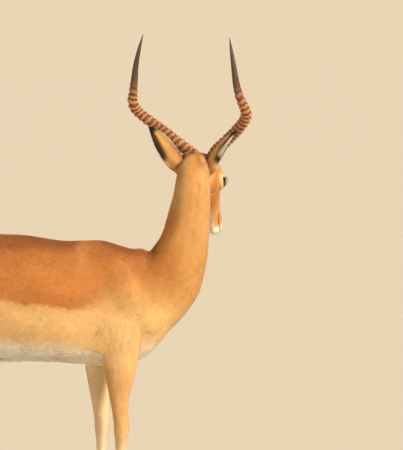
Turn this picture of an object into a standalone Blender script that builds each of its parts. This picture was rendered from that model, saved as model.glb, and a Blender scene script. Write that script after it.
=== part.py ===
"""Impala ram, life size, standing still and looking away over its left side.

Metres, +Z up, +X towards the chest and +Y to the animal's left.  The origin is on the floor, under
the middle of the model's box.  All surfaces are those of the coat's tips.  The flesh is shaped
whole, from lofted forms that one voxel remesh joins, and is then parted into its named pieces with
a thin gap.  Horns, ears, eyes, hooves and tail are made by themselves and trimmed against it.
"""

import math

import bmesh
import bpy
from mathutils import Matrix, Vector

# ---------------------------------------------------------------- driving dimensions
GAP = 0.0004             # clearance between pieces that meet
VOXEL = 0.0065           # resolution of the remesh that joins the flesh
SMOOTHING = 6            # smoothing passes after the remesh
ROUNDING_LOSS = 0.0022   # what remesh and smoothing take off, given back along the normals
FLESH_TRIANGLES = 4560   # what the joined flesh is reduced to before it is parted
HEAD_DETAIL = 0.885      # below 1, the head is kept finer than the rest
LEG_DETAIL = 0.93
FOLD = math.radians(110)  # a sharper turn than this between two faces of the flesh is a flaw

ELBOW_CUT = 0.497        # the forelegs part from the trunk at this height
STIFLE_CUT = 0.562       # the hind legs part from it here, on a plane that falls forwards
STIFLE_TILT = 14         # degrees
LEG_INNER = 0.021        # nothing nearer the midline than this belongs to a leg
CORONET = 0.036          # height of the top of the hooves
CORONET_SLOPE = math.radians(17)
HOOF_TOE_GAP = 0.0030    # cleft between the two claws of a foot

CARPUS = 0.292
HOCK = 0.365
FETLOCK = 0.088
FORELEG_X = 0.006        # the near (right) foreleg
FORELEG_STEP = -0.066    # the left one stands this much further back
HINDLEG_X = -0.600
HINDLEG_STEP = 0.052     # the left hind leg stands this much further forward
FORE_TRACK = 0.058       # half the distance between the fore hooves
HIND_TRACK = 0.066

# The head, seen from where its skull meets the neck: it faces +Y turned by HEAD_YAW towards +X,
# points down by HEAD_PITCH, and leans to its right by HEAD_ROLL.
HEAD_AT = Vector((0.268, 0.090, 1.190))
HEAD_YAW = math.radians(25.0)
HEAD_PITCH = math.radians(57.0)
HEAD_ROLL = math.radians(2.0)

HORN_RINGS = 20          # annulations, on the lower part of the horn
HORN_RINGED_SHARE = 0.70
HORN_RING_HEIGHT = 0.0030
HORN_SIDES = 9
EYE_RADIUS = 0.0185
EYE_AT = (0.112, 0.0440, 0.016)              # along the face, outwards, towards the crown
EAR_THICKNESS = 0.0060


# ---------------------------------------------------------------- the head's axes
def turned_head_axes():
    """Axes (ahead, left, up) of the turned head before it points down."""
    ahead = Vector((math.sin(HEAD_YAW), math.cos(HEAD_YAW), 0.0))
    level_left = Vector((-math.cos(HEAD_YAW), math.sin(HEAD_YAW), 0.0))
    up = Vector((0.0, 0.0, 1.0))
    left = level_left * math.cos(HEAD_ROLL) + up * math.sin(HEAD_ROLL)
    return ahead, left, ahead.cross(left)


AHEAD, LEFT, UP = turned_head_axes()
NOSEWARD = AHEAD * math.cos(HEAD_PITCH) - UP * math.sin(HEAD_PITCH)
CROWNWARD = AHEAD * math.sin(HEAD_PITCH) + UP * math.cos(HEAD_PITCH)
HEAD_TURN = Matrix((NOSEWARD, LEFT, CROWNWARD)).transposed().to_4x4()


def on_head(x, y, z):
    """A point given along the face, to the head's left and towards its crown."""
    return HEAD_AT + NOSEWARD * x + LEFT * y + CROWNWARD * z


def beside_head(ahead, left, up):
    """A point given along the level axes of the turned head."""
    return HEAD_AT + AHEAD * ahead + LEFT * left + UP * up


# ---------------------------------------------------------------- small tools
def clear_scene():
    for obj in list(bpy.data.objects):
        bpy.data.objects.remove(obj, do_unlink=True)


def material(name, colour, roughness):
    made = bpy.data.materials.new(name)
    made.use_nodes = True
    shader = made.node_tree.nodes["Principled BSDF"]
    shader.inputs["Base Color"].default_value = (*colour, 1.0)
    shader.inputs["Roughness"].default_value = roughness
    made.diffuse_color = (*colour, 1.0)
    return made


def curve_through(stations, steps):
    """Catmull-Rom values through the stations, tuples of numbers, steps to a span."""
    last = len(stations) - 1
    found = []
    for i in range(last):
        before, start = stations[max(i - 1, 0)], stations[i]
        end, after = stations[i + 1], stations[min(i + 2, last)]
        for k in range(steps):
            t = k / steps
            found.append(tuple(
                0.5 * (2 * b + (c - a) * t + (2 * a - 5 * b + 4 * c - d) * t * t
                       + (3 * b - a - 3 * c + d) * t ** 3)
                for a, b, c, d in zip(before, start, end, after)))
    found.append(tuple(float(v) for v in stations[last]))
    return found


def add_tube(bm, rings):
    """Closed skin over rings of equally many points."""
    loops = [[bm.verts.new(p) for p in ring] for ring in rings]
    sides = len(loops[0])
    for low, high in zip(loops, loops[1:]):
        for i in range(sides):
            j = (i + 1) % sides
            bm.faces.new((low[i], low[j], high[j], high[i]))
    bm.faces.new(loops[0][::-1])
    bm.faces.new(loops[-1])


def section(centre, side, up, half_side, half_up, half_down, sides, power):
    """Ring that reaches half_side both ways along side, half_up along up, half_down against it."""
    ring = []
    for i in range(sides):
        angle = 2 * math.pi * i / sides
        across, along = math.cos(angle), math.sin(angle)
        across = math.copysign(abs(across) ** (2 / power), across)
        along = math.copysign(abs(along) ** (2 / power), along)
        reach = half_up if along > 0 else half_down
        ring.append(centre + side * (across * half_side) + up * (along * reach))
    return ring


def loft(bm, stations, side, up=None, steps=3, sides=20, power=2.1,
         place=lambda x, y, z: Vector((x, y, z))):
    """Adds a body along stations of (x, y, z, half side, half up, half down).

    side stays sideways all along.  Sections stand at right angles to the body's course, or all
    face the same way if up is given.  place carries a point of the stations' axes into the world.
    """
    fine = curve_through(stations, steps)
    centres = [place(*s[:3]) for s in fine]
    rings = []
    for i, s in enumerate(fine):
        along = (centres[min(i + 1, len(centres) - 1)] - centres[max(i - 1, 0)]).normalized()
        lift = up or along.cross(side).normalized()
        level = side if up else lift.cross(along).normalized()
        rings.append(section(centres[i], level, lift, s[3], s[4], s[5], sides, power))
    add_tube(bm, rings)


def loft_between(bm, profile, widest, side, place, **options):
    """Adds a body from a side profile of (x, top, bottom, half width)."""
    stations = []
    for x, top, bottom, half in profile:
        middle = bottom + widest * (top - bottom)
        stations.append((x, 0.0, middle, half, top - middle, middle - bottom))
    loft(bm, stations, side, place=place, **options)


def add_ball(bm, centre, radii, turn=None, segments=20):
    """Adds an ellipsoid; turn is a rotation matrix for its axes."""
    matrix = Matrix.Translation(centre) @ (turn or Matrix()) @ Matrix.Diagonal((*radii, 1.0))
    bmesh.ops.create_uvsphere(bm, u_segments=segments, v_segments=segments // 2, radius=1.0,
                              matrix=matrix)


def pitched(degrees):
    """Turn about +Y: a positive angle lowers what points along +X."""
    return Matrix.Rotation(math.radians(degrees), 4, "Y")


def object_from(bm, name, finish):
    """New object of the bmesh, which is used up."""
    bmesh.ops.recalc_face_normals(bm, faces=bm.faces)
    mesh = bpy.data.meshes.new(name)
    bm.to_mesh(mesh)
    bm.free()
    mesh.materials.append(finish)
    mesh.shade_smooth()
    obj = bpy.data.objects.new(name, mesh)
    bpy.context.scene.collection.objects.link(obj)
    return obj


def with_modifiers(obj):
    """The object's mesh as its modifiers leave it, in a new bmesh."""
    bm = bmesh.new()
    bm.from_object(obj, bpy.context.evaluated_depsgraph_get())
    return bm


def rebuilt(obj, bm):
    """Puts the bmesh in place of the object's mesh and drops its modifiers."""
    bmesh.ops.triangulate(bm, faces=[f for f in bm.faces if len(f.verts) > 3])
    bm.to_mesh(obj.data)
    bm.free()
    obj.modifiers.clear()
    obj.data.shade_smooth()


def combine(obj, other, operation):
    """Applies a Boolean with the other object to obj."""
    change = obj.modifiers.new(operation.lower(), "BOOLEAN")
    change.operation = operation
    change.solver = "EXACT"
    change.object = other
    rebuilt(obj, with_modifiers(obj))


def swollen(obj, amount):
    """Copy of the object, grown by the amount along its normals."""
    bm = bmesh.new()
    bm.from_mesh(obj.data)
    bm.normal_update()
    moves = [v.normal * (amount * v.calc_shell_factor()) for v in bm.verts]
    for vert, move in zip(bm.verts, moves):
        vert.co += move
    return object_from(bm, obj.name + "_swollen", obj.data.materials[0])


def trim_against(piece, other):
    """Takes from the piece what lies inside the other object or touches it."""
    cutter = swollen(other, GAP)
    combine(piece, cutter, "DIFFERENCE")
    bpy.data.objects.remove(cutter, do_unlink=True)
    keep_largest(piece)


def keep_largest(obj):
    """Drops all but the largest loose part of the object's mesh."""
    bm = bmesh.new()
    bm.from_mesh(obj.data)
    unseen = set(bm.verts)
    parts = []
    for start in bm.verts:
        if start not in unseen:
            continue
        part = [start]
        unseen.remove(start)
        for vert in part:
            for edge in vert.link_edges:
                other = edge.other_vert(vert)
                if other in unseen:
                    unseen.remove(other)
                    part.append(other)
        parts.append(part)
    parts.sort(key=len)
    crumbs = [vert for part in parts[:-1] for vert in part]
    bmesh.ops.delete(bm, geom=crumbs, context="VERTS")
    bm.to_mesh(obj.data)
    bm.free()


# ---------------------------------------------------------------- flesh forms
def trunk_forms(bm):
    """Barrel from the rump to the front of the chest, with the muscles that round it."""
    profile = [  # x, height of the back, height of the belly, half width
        (-0.748, 0.812, 0.700, 0.026),
        (-0.730, 0.856, 0.660, 0.054),
        (-0.685, 0.900, 0.622, 0.084),
        (-0.625, 0.926, 0.600, 0.101),
        (-0.550, 0.938, 0.596, 0.107),
        (-0.470, 0.940, 0.560, 0.113),
        (-0.389, 0.937, 0.529, 0.121),
        (-0.300, 0.933, 0.518, 0.125),
        (-0.190, 0.916, 0.514, 0.119),
        (-0.115, 0.916, 0.508, 0.108),
        (-0.046, 0.915, 0.504, 0.096),
        (0.040, 0.890, 0.514, 0.086),
        (0.088, 0.888, 0.530, 0.082),
        (0.125, 0.850, 0.562, 0.076),
        (0.165, 0.820, 0.612, 0.064),
        (0.200, 0.780, 0.656, 0.042),
    ]
    loft_between(bm, profile, 0.47, Vector((0, 1, 0)), lambda x, y, z: Vector((x, y, z)),
                 up=Vector((0, 0, 1)), sides=28, power=2.15)
    for side in (-1, 1):
        add_ball(bm, (0.018, side * 0.058, 0.745), (0.068, 0.039, 0.135), pitched(-24))
        add_ball(bm, (0.088, side * 0.052, 0.664), (0.052, 0.038, 0.066), pitched(-30))
        add_ball(bm, (-0.030, side * 0.064, 0.620), (0.066, 0.034, 0.090), pitched(20))
        add_ball(bm, (-0.625, side * 0.060, 0.755), (0.112, 0.054, 0.140), pitched(8))
        add_ball(bm, (-0.516, side * 0.064, 0.655), (0.056, 0.036, 0.105), pitched(-24))
        add_ball(bm, (-0.525, side * 0.048, 0.889), (0.080, 0.034, 0.030))
    add_ball(bm, (-0.395, 0.0, 0.528), (0.062, 0.013, 0.014), pitched(-12))
    add_ball(bm, (-0.512, 0.0, 0.566), (0.024, 0.018, 0.044))


def neck_forms(bm):
    stations = [  # centre, half width, half depth towards the throat, half depth towards the nape
        (0.040, 0.000, 0.700, 0.076, 0.148, 0.120),
        (0.100, 0.000, 0.755, 0.079, 0.148, 0.112),
        (0.152, 0.000, 0.812, 0.076, 0.138, 0.084),
        (0.188, 0.000, 0.868, 0.070, 0.113, 0.072),
        (0.210, 0.000, 0.920, 0.065, 0.093, 0.065),
        (0.226, 0.000, 0.970, 0.062, 0.078, 0.066),
        (0.237, 0.001, 1.020, 0.059, 0.067, 0.064),
        (0.244, 0.004, 1.068, 0.058, 0.061, 0.060),
        (0.249, 0.014, 1.108, 0.057, 0.055, 0.058),
        (0.255, 0.034, 1.142, 0.053, 0.050, 0.056),
        (0.262, 0.062, 1.163, 0.046, 0.046, 0.044),
        (0.268, 0.088, 1.172, 0.036, 0.036, 0.030),
    ]
    loft(bm, stations, Vector((0, -1, 0)), sides=24, power=2.05)


def head_forms(bm):
    profile = [  # along the face, height of the forehead line, of the jaw line, half width
        (-0.012, 0.008, -0.046, 0.034),
        (0.006, 0.028, -0.064, 0.047),
        (0.040, 0.045, -0.078, 0.052),
        (0.078, 0.051, -0.080, 0.052),
        (0.112, 0.048, -0.073, 0.049),
        (0.150, 0.040, -0.061, 0.040),
        (0.188, 0.032, -0.051, 0.0325),
        (0.225, 0.0255, -0.044, 0.0275),
        (0.258, 0.020, -0.041, 0.0265),
        (0.278, 0.014, -0.039, 0.0255),
        (0.292, 0.004, -0.034, 0.0205),
        (0.299, -0.008, -0.027, 0.0120),
    ]
    loft_between(bm, profile, 0.5, LEFT, on_head, up=CROWNWARD, sides=24, power=2.3)
    for side in (-1, 1):
        add_ball(bm, on_head(0.106, side * 0.038, 0.025), (0.040, 0.0210, 0.0200), HEAD_TURN)
        add_ball(bm, on_head(0.062, side * 0.029, 0.034), (0.034, 0.022, 0.019), HEAD_TURN)
        add_ball(bm, on_head(0.068, side * 0.034, -0.036), (0.048, 0.020, 0.040), HEAD_TURN)
        add_ball(bm, on_head(0.022, side * 0.042, -0.004), (0.034, 0.015, 0.034), HEAD_TURN)
        add_ball(bm, on_head(0.009, side * 0.049, 0.009), (0.024, 0.019, 0.018), HEAD_TURN)
        add_ball(bm, on_head(0.278, side * 0.013, 0.004), (0.018, 0.0120, 0.013), HEAD_TURN)
    add_ball(bm, on_head(0.262, 0.0, -0.037), (0.026, 0.0175, 0.011), HEAD_TURN)


def foreleg_stations(x):
    """From shoulder to sole: centre, half width, half depth in front, half depth behind."""
    y = FORE_TRACK
    return [
        (x + 0.012, y + 0.006, 0.660, 0.034, 0.070, 0.072),
        (x + 0.008, y + 0.008, 0.590, 0.036, 0.064, 0.068),
        (x + 0.005, y + 0.008, 0.530, 0.035, 0.058, 0.060),
        (x + 0.003, y + 0.006, 0.478, 0.031, 0.050, 0.051),
        (x - 0.001, y + 0.004, 0.420, 0.026, 0.037, 0.036),
        (x + 0.001, y + 0.002, 0.365, 0.0225, 0.029, 0.027),
        (x + 0.006, y, CARPUS + 0.020, 0.0225, 0.0265, 0.0250),
        (x + 0.007, y, CARPUS - 0.006, 0.0220, 0.0245, 0.0255),
        (x + 0.005, y, 0.248, 0.0170, 0.0175, 0.0195),
        (x + 0.004, y, 0.190, 0.0150, 0.0150, 0.0170),
        (x + 0.004, y, 0.130, 0.0155, 0.0155, 0.0175),
        (x + 0.006, y, FETLOCK + 0.006, 0.0200, 0.0195, 0.0225),
        (x + 0.014, y, 0.064, 0.0185, 0.0170, 0.0190),
        (x + 0.022, y, 0.040, 0.0205, 0.0195, 0.0195),
        (x + 0.026, y, 0.014, 0.0205, 0.0195, 0.0195),
    ]


def hindleg_stations(x):
    """As foreleg_stations, from the haunch."""
    y = HIND_TRACK
    return [
        (x - 0.016, y - 0.006, 0.800, 0.040, 0.100, 0.116),
        (x - 0.006, y + 0.003, 0.722, 0.049, 0.114, 0.131),
        (x + 0.010, y + 0.007, 0.645, 0.046, 0.110, 0.131),
        (x + 0.018, y + 0.008, 0.580, 0.039, 0.098, 0.113),
        (x + 0.006, y + 0.006, 0.520, 0.032, 0.070, 0.080),
        (x - 0.013, y + 0.003, 0.462, 0.025, 0.044, 0.050),
        (x - 0.034, y, HOCK + 0.044, 0.0205, 0.029, 0.031),
        (x - 0.048, y, HOCK + 0.004, 0.0225, 0.027, 0.031),
        (x - 0.050, y, HOCK - 0.045, 0.0200, 0.0225, 0.0240),
        (x - 0.043, y, 0.255, 0.0165, 0.0170, 0.0190),
        (x - 0.037, y, 0.190, 0.0160, 0.0160, 0.0185),
        (x - 0.032, y, 0.135, 0.0165, 0.0165, 0.0190),
        (x - 0.028, y, FETLOCK + 0.006, 0.0205, 0.0205, 0.0235),
        (x - 0.019, y, 0.065, 0.0190, 0.0175, 0.0200),
        (x - 0.010, y, 0.040, 0.0210, 0.0200, 0.0195),
        (x - 0.006, y, 0.014, 0.0210, 0.0200, 0.0195),
    ]


LEGS = [  # name, side (1 is the animal's left), x where it stands, stations
    ("foreleg_right", -1, FORELEG_X, foreleg_stations),
    ("foreleg_left", 1, FORELEG_X + FORELEG_STEP, foreleg_stations),
    ("hindleg_right", -1, HINDLEG_X, hindleg_stations),
    ("hindleg_left", 1, HINDLEG_X + HINDLEG_STEP, hindleg_stations),
]


HEEL_CORD = [  # point of the hock and the tendon above it, from where the leg stands
    (-0.024, 0.003, 0.560, 0.010, 0.014, 0.014),
    (-0.047, 0.002, 0.500, 0.010, 0.014, 0.014),
    (-0.064, 0.0, HOCK + 0.080, 0.0085, 0.011, 0.011),
    (-0.074, 0.0, HOCK + 0.040, 0.0110, 0.012, 0.012),
    (-0.074, 0.0, HOCK + 0.012, 0.0130, 0.013, 0.013),
    (-0.066, 0.0, HOCK - 0.022, 0.0110, 0.012, 0.012),
    (-0.054, 0.0, HOCK - 0.060, 0.0060, 0.008, 0.008),
]


def leg_forms(bm):
    for name, side, x, stations_at in LEGS:
        stations = [(s[0], side * s[1], *s[2:]) for s in stations_at(x)]
        loft(bm, stations, Vector((0, 1, 0)), sides=16)
        if name.startswith("hindleg"):
            heel = [(x + s[0], side * (HIND_TRACK + s[1]), *s[2:]) for s in HEEL_CORD]
            loft(bm, heel, Vector((0, 1, 0)), sides=10)


def relax_folds(obj):
    """Smooths the few points where the reduction folded the surface."""
    bm = bmesh.new()
    bm.from_mesh(obj.data)
    for _ in range(6):
        folded = {v for e in bm.edges if e.calc_face_angle(0.0) > FOLD for v in e.verts}
        bmesh.ops.smooth_vert(bm, verts=list(folded), factor=0.6,
                              use_axis_x=True, use_axis_y=True, use_axis_z=True)
    bm.to_mesh(obj.data)
    bm.free()


def joined_flesh(finish):
    """All flesh as one object, reduced to FLESH_TRIANGLES with the head kept finest."""
    bm = bmesh.new()
    trunk_forms(bm)
    neck_forms(bm)
    head_forms(bm)
    leg_forms(bm)
    flesh = object_from(bm, "trunk", finish)
    joined = flesh.modifiers.new("join", "REMESH")
    joined.mode = "VOXEL"
    joined.voxel_size = VOXEL
    rounded = flesh.modifiers.new("round", "SMOOTH")
    rounded.factor = 0.6
    rounded.iterations = SMOOTHING
    rebuilt(flesh, with_modifiers(flesh))
    grown = swollen(flesh, ROUNDING_LOSS)
    flesh.data = grown.data
    bpy.data.objects.remove(grown, do_unlink=True)
    kept = flesh.vertex_groups.new(name="kept")
    for vert in flesh.data.vertices:
        if (vert.co - HEAD_AT).dot(AHEAD) > -0.05 and vert.co.z > 0.9:
            share = HEAD_DETAIL
        else:
            share = LEG_DETAIL if vert.co.z < ELBOW_CUT else 1.0
        kept.add([vert.index], share, "REPLACE")
    reduced = flesh.modifiers.new("reduce", "DECIMATE")
    reduced.ratio = FLESH_TRIANGLES / len(flesh.data.polygons)
    reduced.vertex_group = kept.name
    reduced.vertex_group_factor = 1.0
    rebuilt(flesh, with_modifiers(flesh))
    flesh.vertex_groups.clear()
    relax_folds(flesh)
    return flesh


# ---------------------------------------------------------------- parting the flesh
def half_of(obj, name, point, normal, clearance=GAP / 2):
    """New object: the side of obj that the normal points to, closed at the plane."""
    bm = bmesh.new()
    bm.from_mesh(obj.data)
    normal = normal.normalized()
    cut = bmesh.ops.bisect_plane(bm, geom=bm.verts[:] + bm.edges[:] + bm.faces[:], dist=1e-6,
                                 plane_co=point + normal * clearance, plane_no=normal,
                                 clear_inner=True)
    rim = [e for e in cut["geom_cut"] if isinstance(e, bmesh.types.BMEdge)]
    bmesh.ops.holes_fill(bm, edges=rim)
    bmesh.ops.triangulate(bm, faces=[f for f in bm.faces if len(f.verts) > 3])
    return object_from(bm, name, obj.data.materials[0])


def parted(obj, name, point, normal):
    """Splits obj at a plane: the side the normal points to gets the name, the rest keeps its own."""
    ahead = half_of(obj, name, point, normal)
    rest = half_of(obj, "rest", point, -normal)
    obj.data = rest.data
    bpy.data.objects.remove(rest, do_unlink=True)
    return ahead


def take_leg(trunk, name, side, x, finish):
    """Moves the leg's flesh below its cut out of the trunk, into an object of its own."""
    front = name.startswith("foreleg")
    top = ELBOW_CUT if front else STIFLE_CUT
    tilt = pitched(0 if front else STIFLE_TILT)
    reach, depth, breadth = 0.26, 0.8, 0.3

    def leg_box(extra):
        size = Matrix.Diagonal((2 * reach, breadth, depth, 1.0))
        middle = Vector((0.0, side * (LEG_INNER - extra + breadth / 2), extra - depth / 2))
        bm = bmesh.new()
        bmesh.ops.create_cube(bm, size=1.0, matrix=Matrix.Translation((x, 0.0, top)) @ tilt
                              @ Matrix.Translation(middle) @ size)
        return object_from(bm, "leg_box", finish)

    leg = trunk.copy()
    leg.data = trunk.data.copy()
    leg.name = name
    bpy.context.scene.collection.objects.link(leg)
    for obj, operation, extra in ((leg, "INTERSECT", 0.0), (trunk, "DIFFERENCE", GAP)):
        cutter = leg_box(extra)
        combine(obj, cutter, operation)
        bpy.data.objects.remove(cutter, do_unlink=True)
    keep_largest(leg)
    return leg


# ---------------------------------------------------------------- hooves
def coronet_plane(x):
    """A point and the upward normal of the plane between the leg at x and its hoof."""
    normal = Vector((-math.sin(CORONET_SLOPE), 0.0, math.cos(CORONET_SLOPE)))
    return Vector((x, 0.0, CORONET)), normal


def claw(name, x, y, outward, finish):
    """One toe of a cloven hoof: flat below, its wall sloping up and back to the coronet."""
    levels = [  # height, x of the heel, x of the tip, width
        (0.000, -0.0210, 0.0440, 0.0215),
        (0.004, -0.0215, 0.0430, 0.0220),
        (0.024, -0.0200, 0.0305, 0.0208),
        (0.056, -0.0165, 0.0140, 0.0175),
    ]
    sides = 10
    rings = []
    for height, heel, tip, width in levels:
        ring = []
        for i in range(sides):
            angle = 2 * math.pi * i / sides
            along = math.cos(angle)
            pointed = 1.0 - 0.42 * max(along, 0.0) ** 2
            across = math.sin(angle) * pointed * width / 2
            middle = HOOF_TOE_GAP / 2 + width * 0.5
            ring.append(Vector((x + (heel + tip) / 2 + along * (tip - heel) / 2,
                                y + outward * (middle + across), height)))
        rings.append(ring)
    bm = bmesh.new()
    add_tube(bm, rings)
    whole = object_from(bm, "whole_claw", finish)
    point, normal = coronet_plane(x)
    made = half_of(whole, name, point, -normal)
    bpy.data.objects.remove(whole, do_unlink=True)
    return made


def hoof_x(x, stations_at):
    """Where the middle of the coronet is, for a leg that stands at x."""
    return stations_at(x)[-2][0]


# ---------------------------------------------------------------- horns, ears, eyes, tail
def horn(name, side, finish):
    """Lyre-shaped horn, ringed up to a little past its widest point."""
    course = [  # ahead, outwards, up, radius
        (0.052, 0.030, -0.014, 0.0195),
        (0.032, 0.039, 0.006, 0.0200),
        (0.014, 0.060, 0.025, 0.0198),
        (0.001, 0.090, 0.050, 0.0190),
        (-0.014, 0.128, 0.081, 0.0182),
        (-0.040, 0.168, 0.113, 0.0176),
        (-0.070, 0.199, 0.145, 0.0170),
        (-0.098, 0.203, 0.174, 0.0158),
        (-0.117, 0.193, 0.210, 0.0140),
        (-0.128, 0.185, 0.252, 0.0115),
        (-0.134, 0.178, 0.300, 0.0090),
        (-0.134, 0.168, 0.352, 0.0058),
        (-0.131, 0.157, 0.399, 0.0010),
    ]
    fine = curve_through(course, 12)
    centres = [beside_head(c[0], side * c[1], c[2]) for c in fine]
    travelled = [0.0]
    for a, b in zip(centres, centres[1:]):
        travelled.append(travelled[-1] + (b - a).length)
    ringed = travelled[-1] * HORN_RINGED_SHARE
    pitch = ringed / HORN_RINGS
    stops = []
    for k in range(HORN_RINGS):
        stops += [(pitch * k, -HORN_RING_HEIGHT / 2), (pitch * (k + 0.62), HORN_RING_HEIGHT)]
    smooth_part = 6
    for k in range(smooth_part + 1):
        stops.append((ringed + (travelled[-1] - ringed) * k / smooth_part, 0.0))
    rings = []
    for distance, swell in stops:
        i = max(k for k, t in enumerate(travelled) if t <= distance + 1e-9)
        i = min(i, len(centres) - 2)
        t = (distance - travelled[i]) / (travelled[i + 1] - travelled[i])
        centre = centres[i].lerp(centres[i + 1], t)
        along = (centres[i + 1] - centres[i]).normalized()
        front = (AHEAD - along * AHEAD.dot(along)).normalized()
        level = along.cross(front)
        fade = min(1.0, (ringed * 1.02 - distance) / (ringed * 0.25)) if swell else 0.0
        radius = (fine[i][3] * (1 - t) + fine[i + 1][3] * t) + swell * fade
        rings.append(section(centre, level, front, radius, radius, radius, HORN_SIDES, 2.0))
    bm = bmesh.new()
    add_tube(bm, rings)
    return object_from(bm, name, finish)


def ear(name, side, finish):
    """Cupped leaf: its open side faces ahead and outwards."""
    root = beside_head(-0.034, side * 0.046, -0.040)
    tip = beside_head(-0.055, side * 0.160, 0.093)
    along = (tip - root).normalized()
    facing = AHEAD * 0.50 + LEFT * (side * 0.87)
    facing = (facing - along * facing.dot(along)).normalized()
    across = along.cross(facing)
    length = (tip - root).length
    lengthwise, crosswise = 9, 7
    outline = [(0.0, 0.022), (0.14, 0.029), (0.32, 0.0340), (0.52, 0.0325), (0.72, 0.026),
               (0.88, 0.0145), (1.0, 0.0030)]    # share of the length, half width
    widths = curve_through(outline, 6)

    def half_width(share):
        for (low, w0), (high, w1) in zip(widths, widths[1:]):
            if low <= share <= high:
                return w0 + (w1 - w0) * (share - low) / (high - low)
        return widths[-1][1]

    rings = []
    for i in range(lengthwise + 1):
        share = i / lengthwise
        width = half_width(share)
        curl = math.radians(100 - 55 * share)    # how far the rims are rolled forward
        bow = 0.010 * math.sin(math.pi * share)
        thickness = EAR_THICKNESS * (1.0 - 0.55 * share)
        outer, inner = [], []
        for j in range(crosswise + 1):
            angle = curl * (2 * j / crosswise - 1)
            radius = width / math.sin(max(curl, 0.3)) if curl < math.pi / 2 else width
            deep = radius * (1 - math.cos(angle)) - radius * 0.4
            for points, inset in ((outer, 0.0), (inner, thickness)):
                spread = (radius - inset) * math.sin(angle)
                points.append(root + along * (share * length) + across * spread
                              + facing * (deep + inset * math.cos(angle) - bow))
        rings.append(outer + inner[::-1])
    bm = bmesh.new()
    add_tube(bm, rings)
    return object_from(bm, name, finish)


def eye(name, side, radius, finish):
    bm = bmesh.new()
    add_ball(bm, on_head(EYE_AT[0], side * EYE_AT[1], EYE_AT[2]), (radius,) * 3, segments=14)
    return object_from(bm, name, finish)


def tail(finish):
    stations = [  # centre, half width, half depth behind, half depth in front
        (-0.715, 0.0, 0.868, 0.020, 0.018, 0.018),
        (-0.752, 0.0, 0.838, 0.024, 0.020, 0.018),
        (-0.780, 0.0, 0.780, 0.028, 0.022, 0.018),
        (-0.790, 0.0, 0.710, 0.034, 0.024, 0.020),
        (-0.790, 0.0, 0.640, 0.034, 0.024, 0.020),
        (-0.788, 0.0, 0.580, 0.026, 0.018, 0.015),
        (-0.786, 0.0, 0.535, 0.010, 0.008, 0.007),
        (-0.785, 0.0, 0.520, 0.003, 0.003, 0.003),
    ]
    bm = bmesh.new()
    loft(bm, stations, Vector((0, -1, 0)), steps=2, sides=12)
    return object_from(bm, "tail", finish)


# ---------------------------------------------------------------- the whole animal
def settle(objects):
    """Puts the origin on the floor under the middle of the box that holds all objects."""
    points = [v.co for obj in objects for v in obj.data.vertices]
    low = [min(p[i] for p in points) for i in range(3)]
    high = [max(p[i] for p in points) for i in range(3)]
    move = Vector((-(low[0] + high[0]) / 2, -(low[1] + high[1]) / 2, -low[2]))
    for obj in objects:
        obj.data.transform(Matrix.Translation(move))


def main():
    clear_scene()
    coat = material("short_coat", (0.50, 0.24, 0.09), 0.75)
    pale = material("pale_coat", (0.80, 0.72, 0.58), 0.8)
    horny = material("horn", (0.10, 0.07, 0.05), 0.45)
    glossy = material("eye", (0.02, 0.012, 0.01), 0.08)

    trunk = joined_flesh(coat)
    head = parted(trunk, "head", beside_head(-0.040, 0.0, -0.070), AHEAD * 0.90 + UP * 0.43)
    neck = parted(trunk, "neck", Vector((0.105, 0.0, 0.905)), Vector((0.915, 0.0, 0.40)))
    pieces = [trunk, head, neck]
    for name, side, x, stations_at in LEGS:
        leg = take_leg(trunk, name, side, x, coat)
        toe = hoof_x(x, stations_at)
        point, normal = coronet_plane(toe)
        shorter = half_of(leg, "shorter", point, normal)
        leg.data = shorter.data
        bpy.data.objects.remove(shorter, do_unlink=True)
        pieces.append(leg)
        track = side * (FORE_TRACK if name.startswith("foreleg") else HIND_TRACK)
        for which, outward in (("outer", side), ("inner", -side)):
            pieces.append(claw(f"hoof_{name}_{which}", toe, track, outward, horny))

    for name, side in (("left", 1), ("right", -1)):
        socket = eye("socket", side, EYE_RADIUS + GAP, glossy)
        combine(head, socket, "DIFFERENCE")
        bpy.data.objects.remove(socket, do_unlink=True)
        pieces.append(eye(f"eye_{name}", side, EYE_RADIUS, glossy))
    for name, side in (("left", 1), ("right", -1)):
        for made in (horn(f"horn_{name}", side, horny), ear(f"ear_{name}", side, coat)):
            trim_against(made, head)
            trim_against(made, neck)
            pieces.append(made)
    brush = tail(pale)
    trim_against(brush, trunk)
    pieces.append(brush)
    settle(pieces)


main()
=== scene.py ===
"""Looks of the impala ram: one skin with its markings, a short coat of fine tufts, ringed horns,
wet eyes and black hooves, set up under plain studio light.

The forms are those of the CAD model at a finer resolution, in its working frame: metres, +Z up,
+X towards the chest, +Y to the animal's left, x = 0 at the right foreleg.  Every piece is made
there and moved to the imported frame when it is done.
"""

import math

import bmesh
import bpy
import numpy as np
from mathutils import Matrix, Vector
from mathutils.bvhtree import BVHTree


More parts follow.
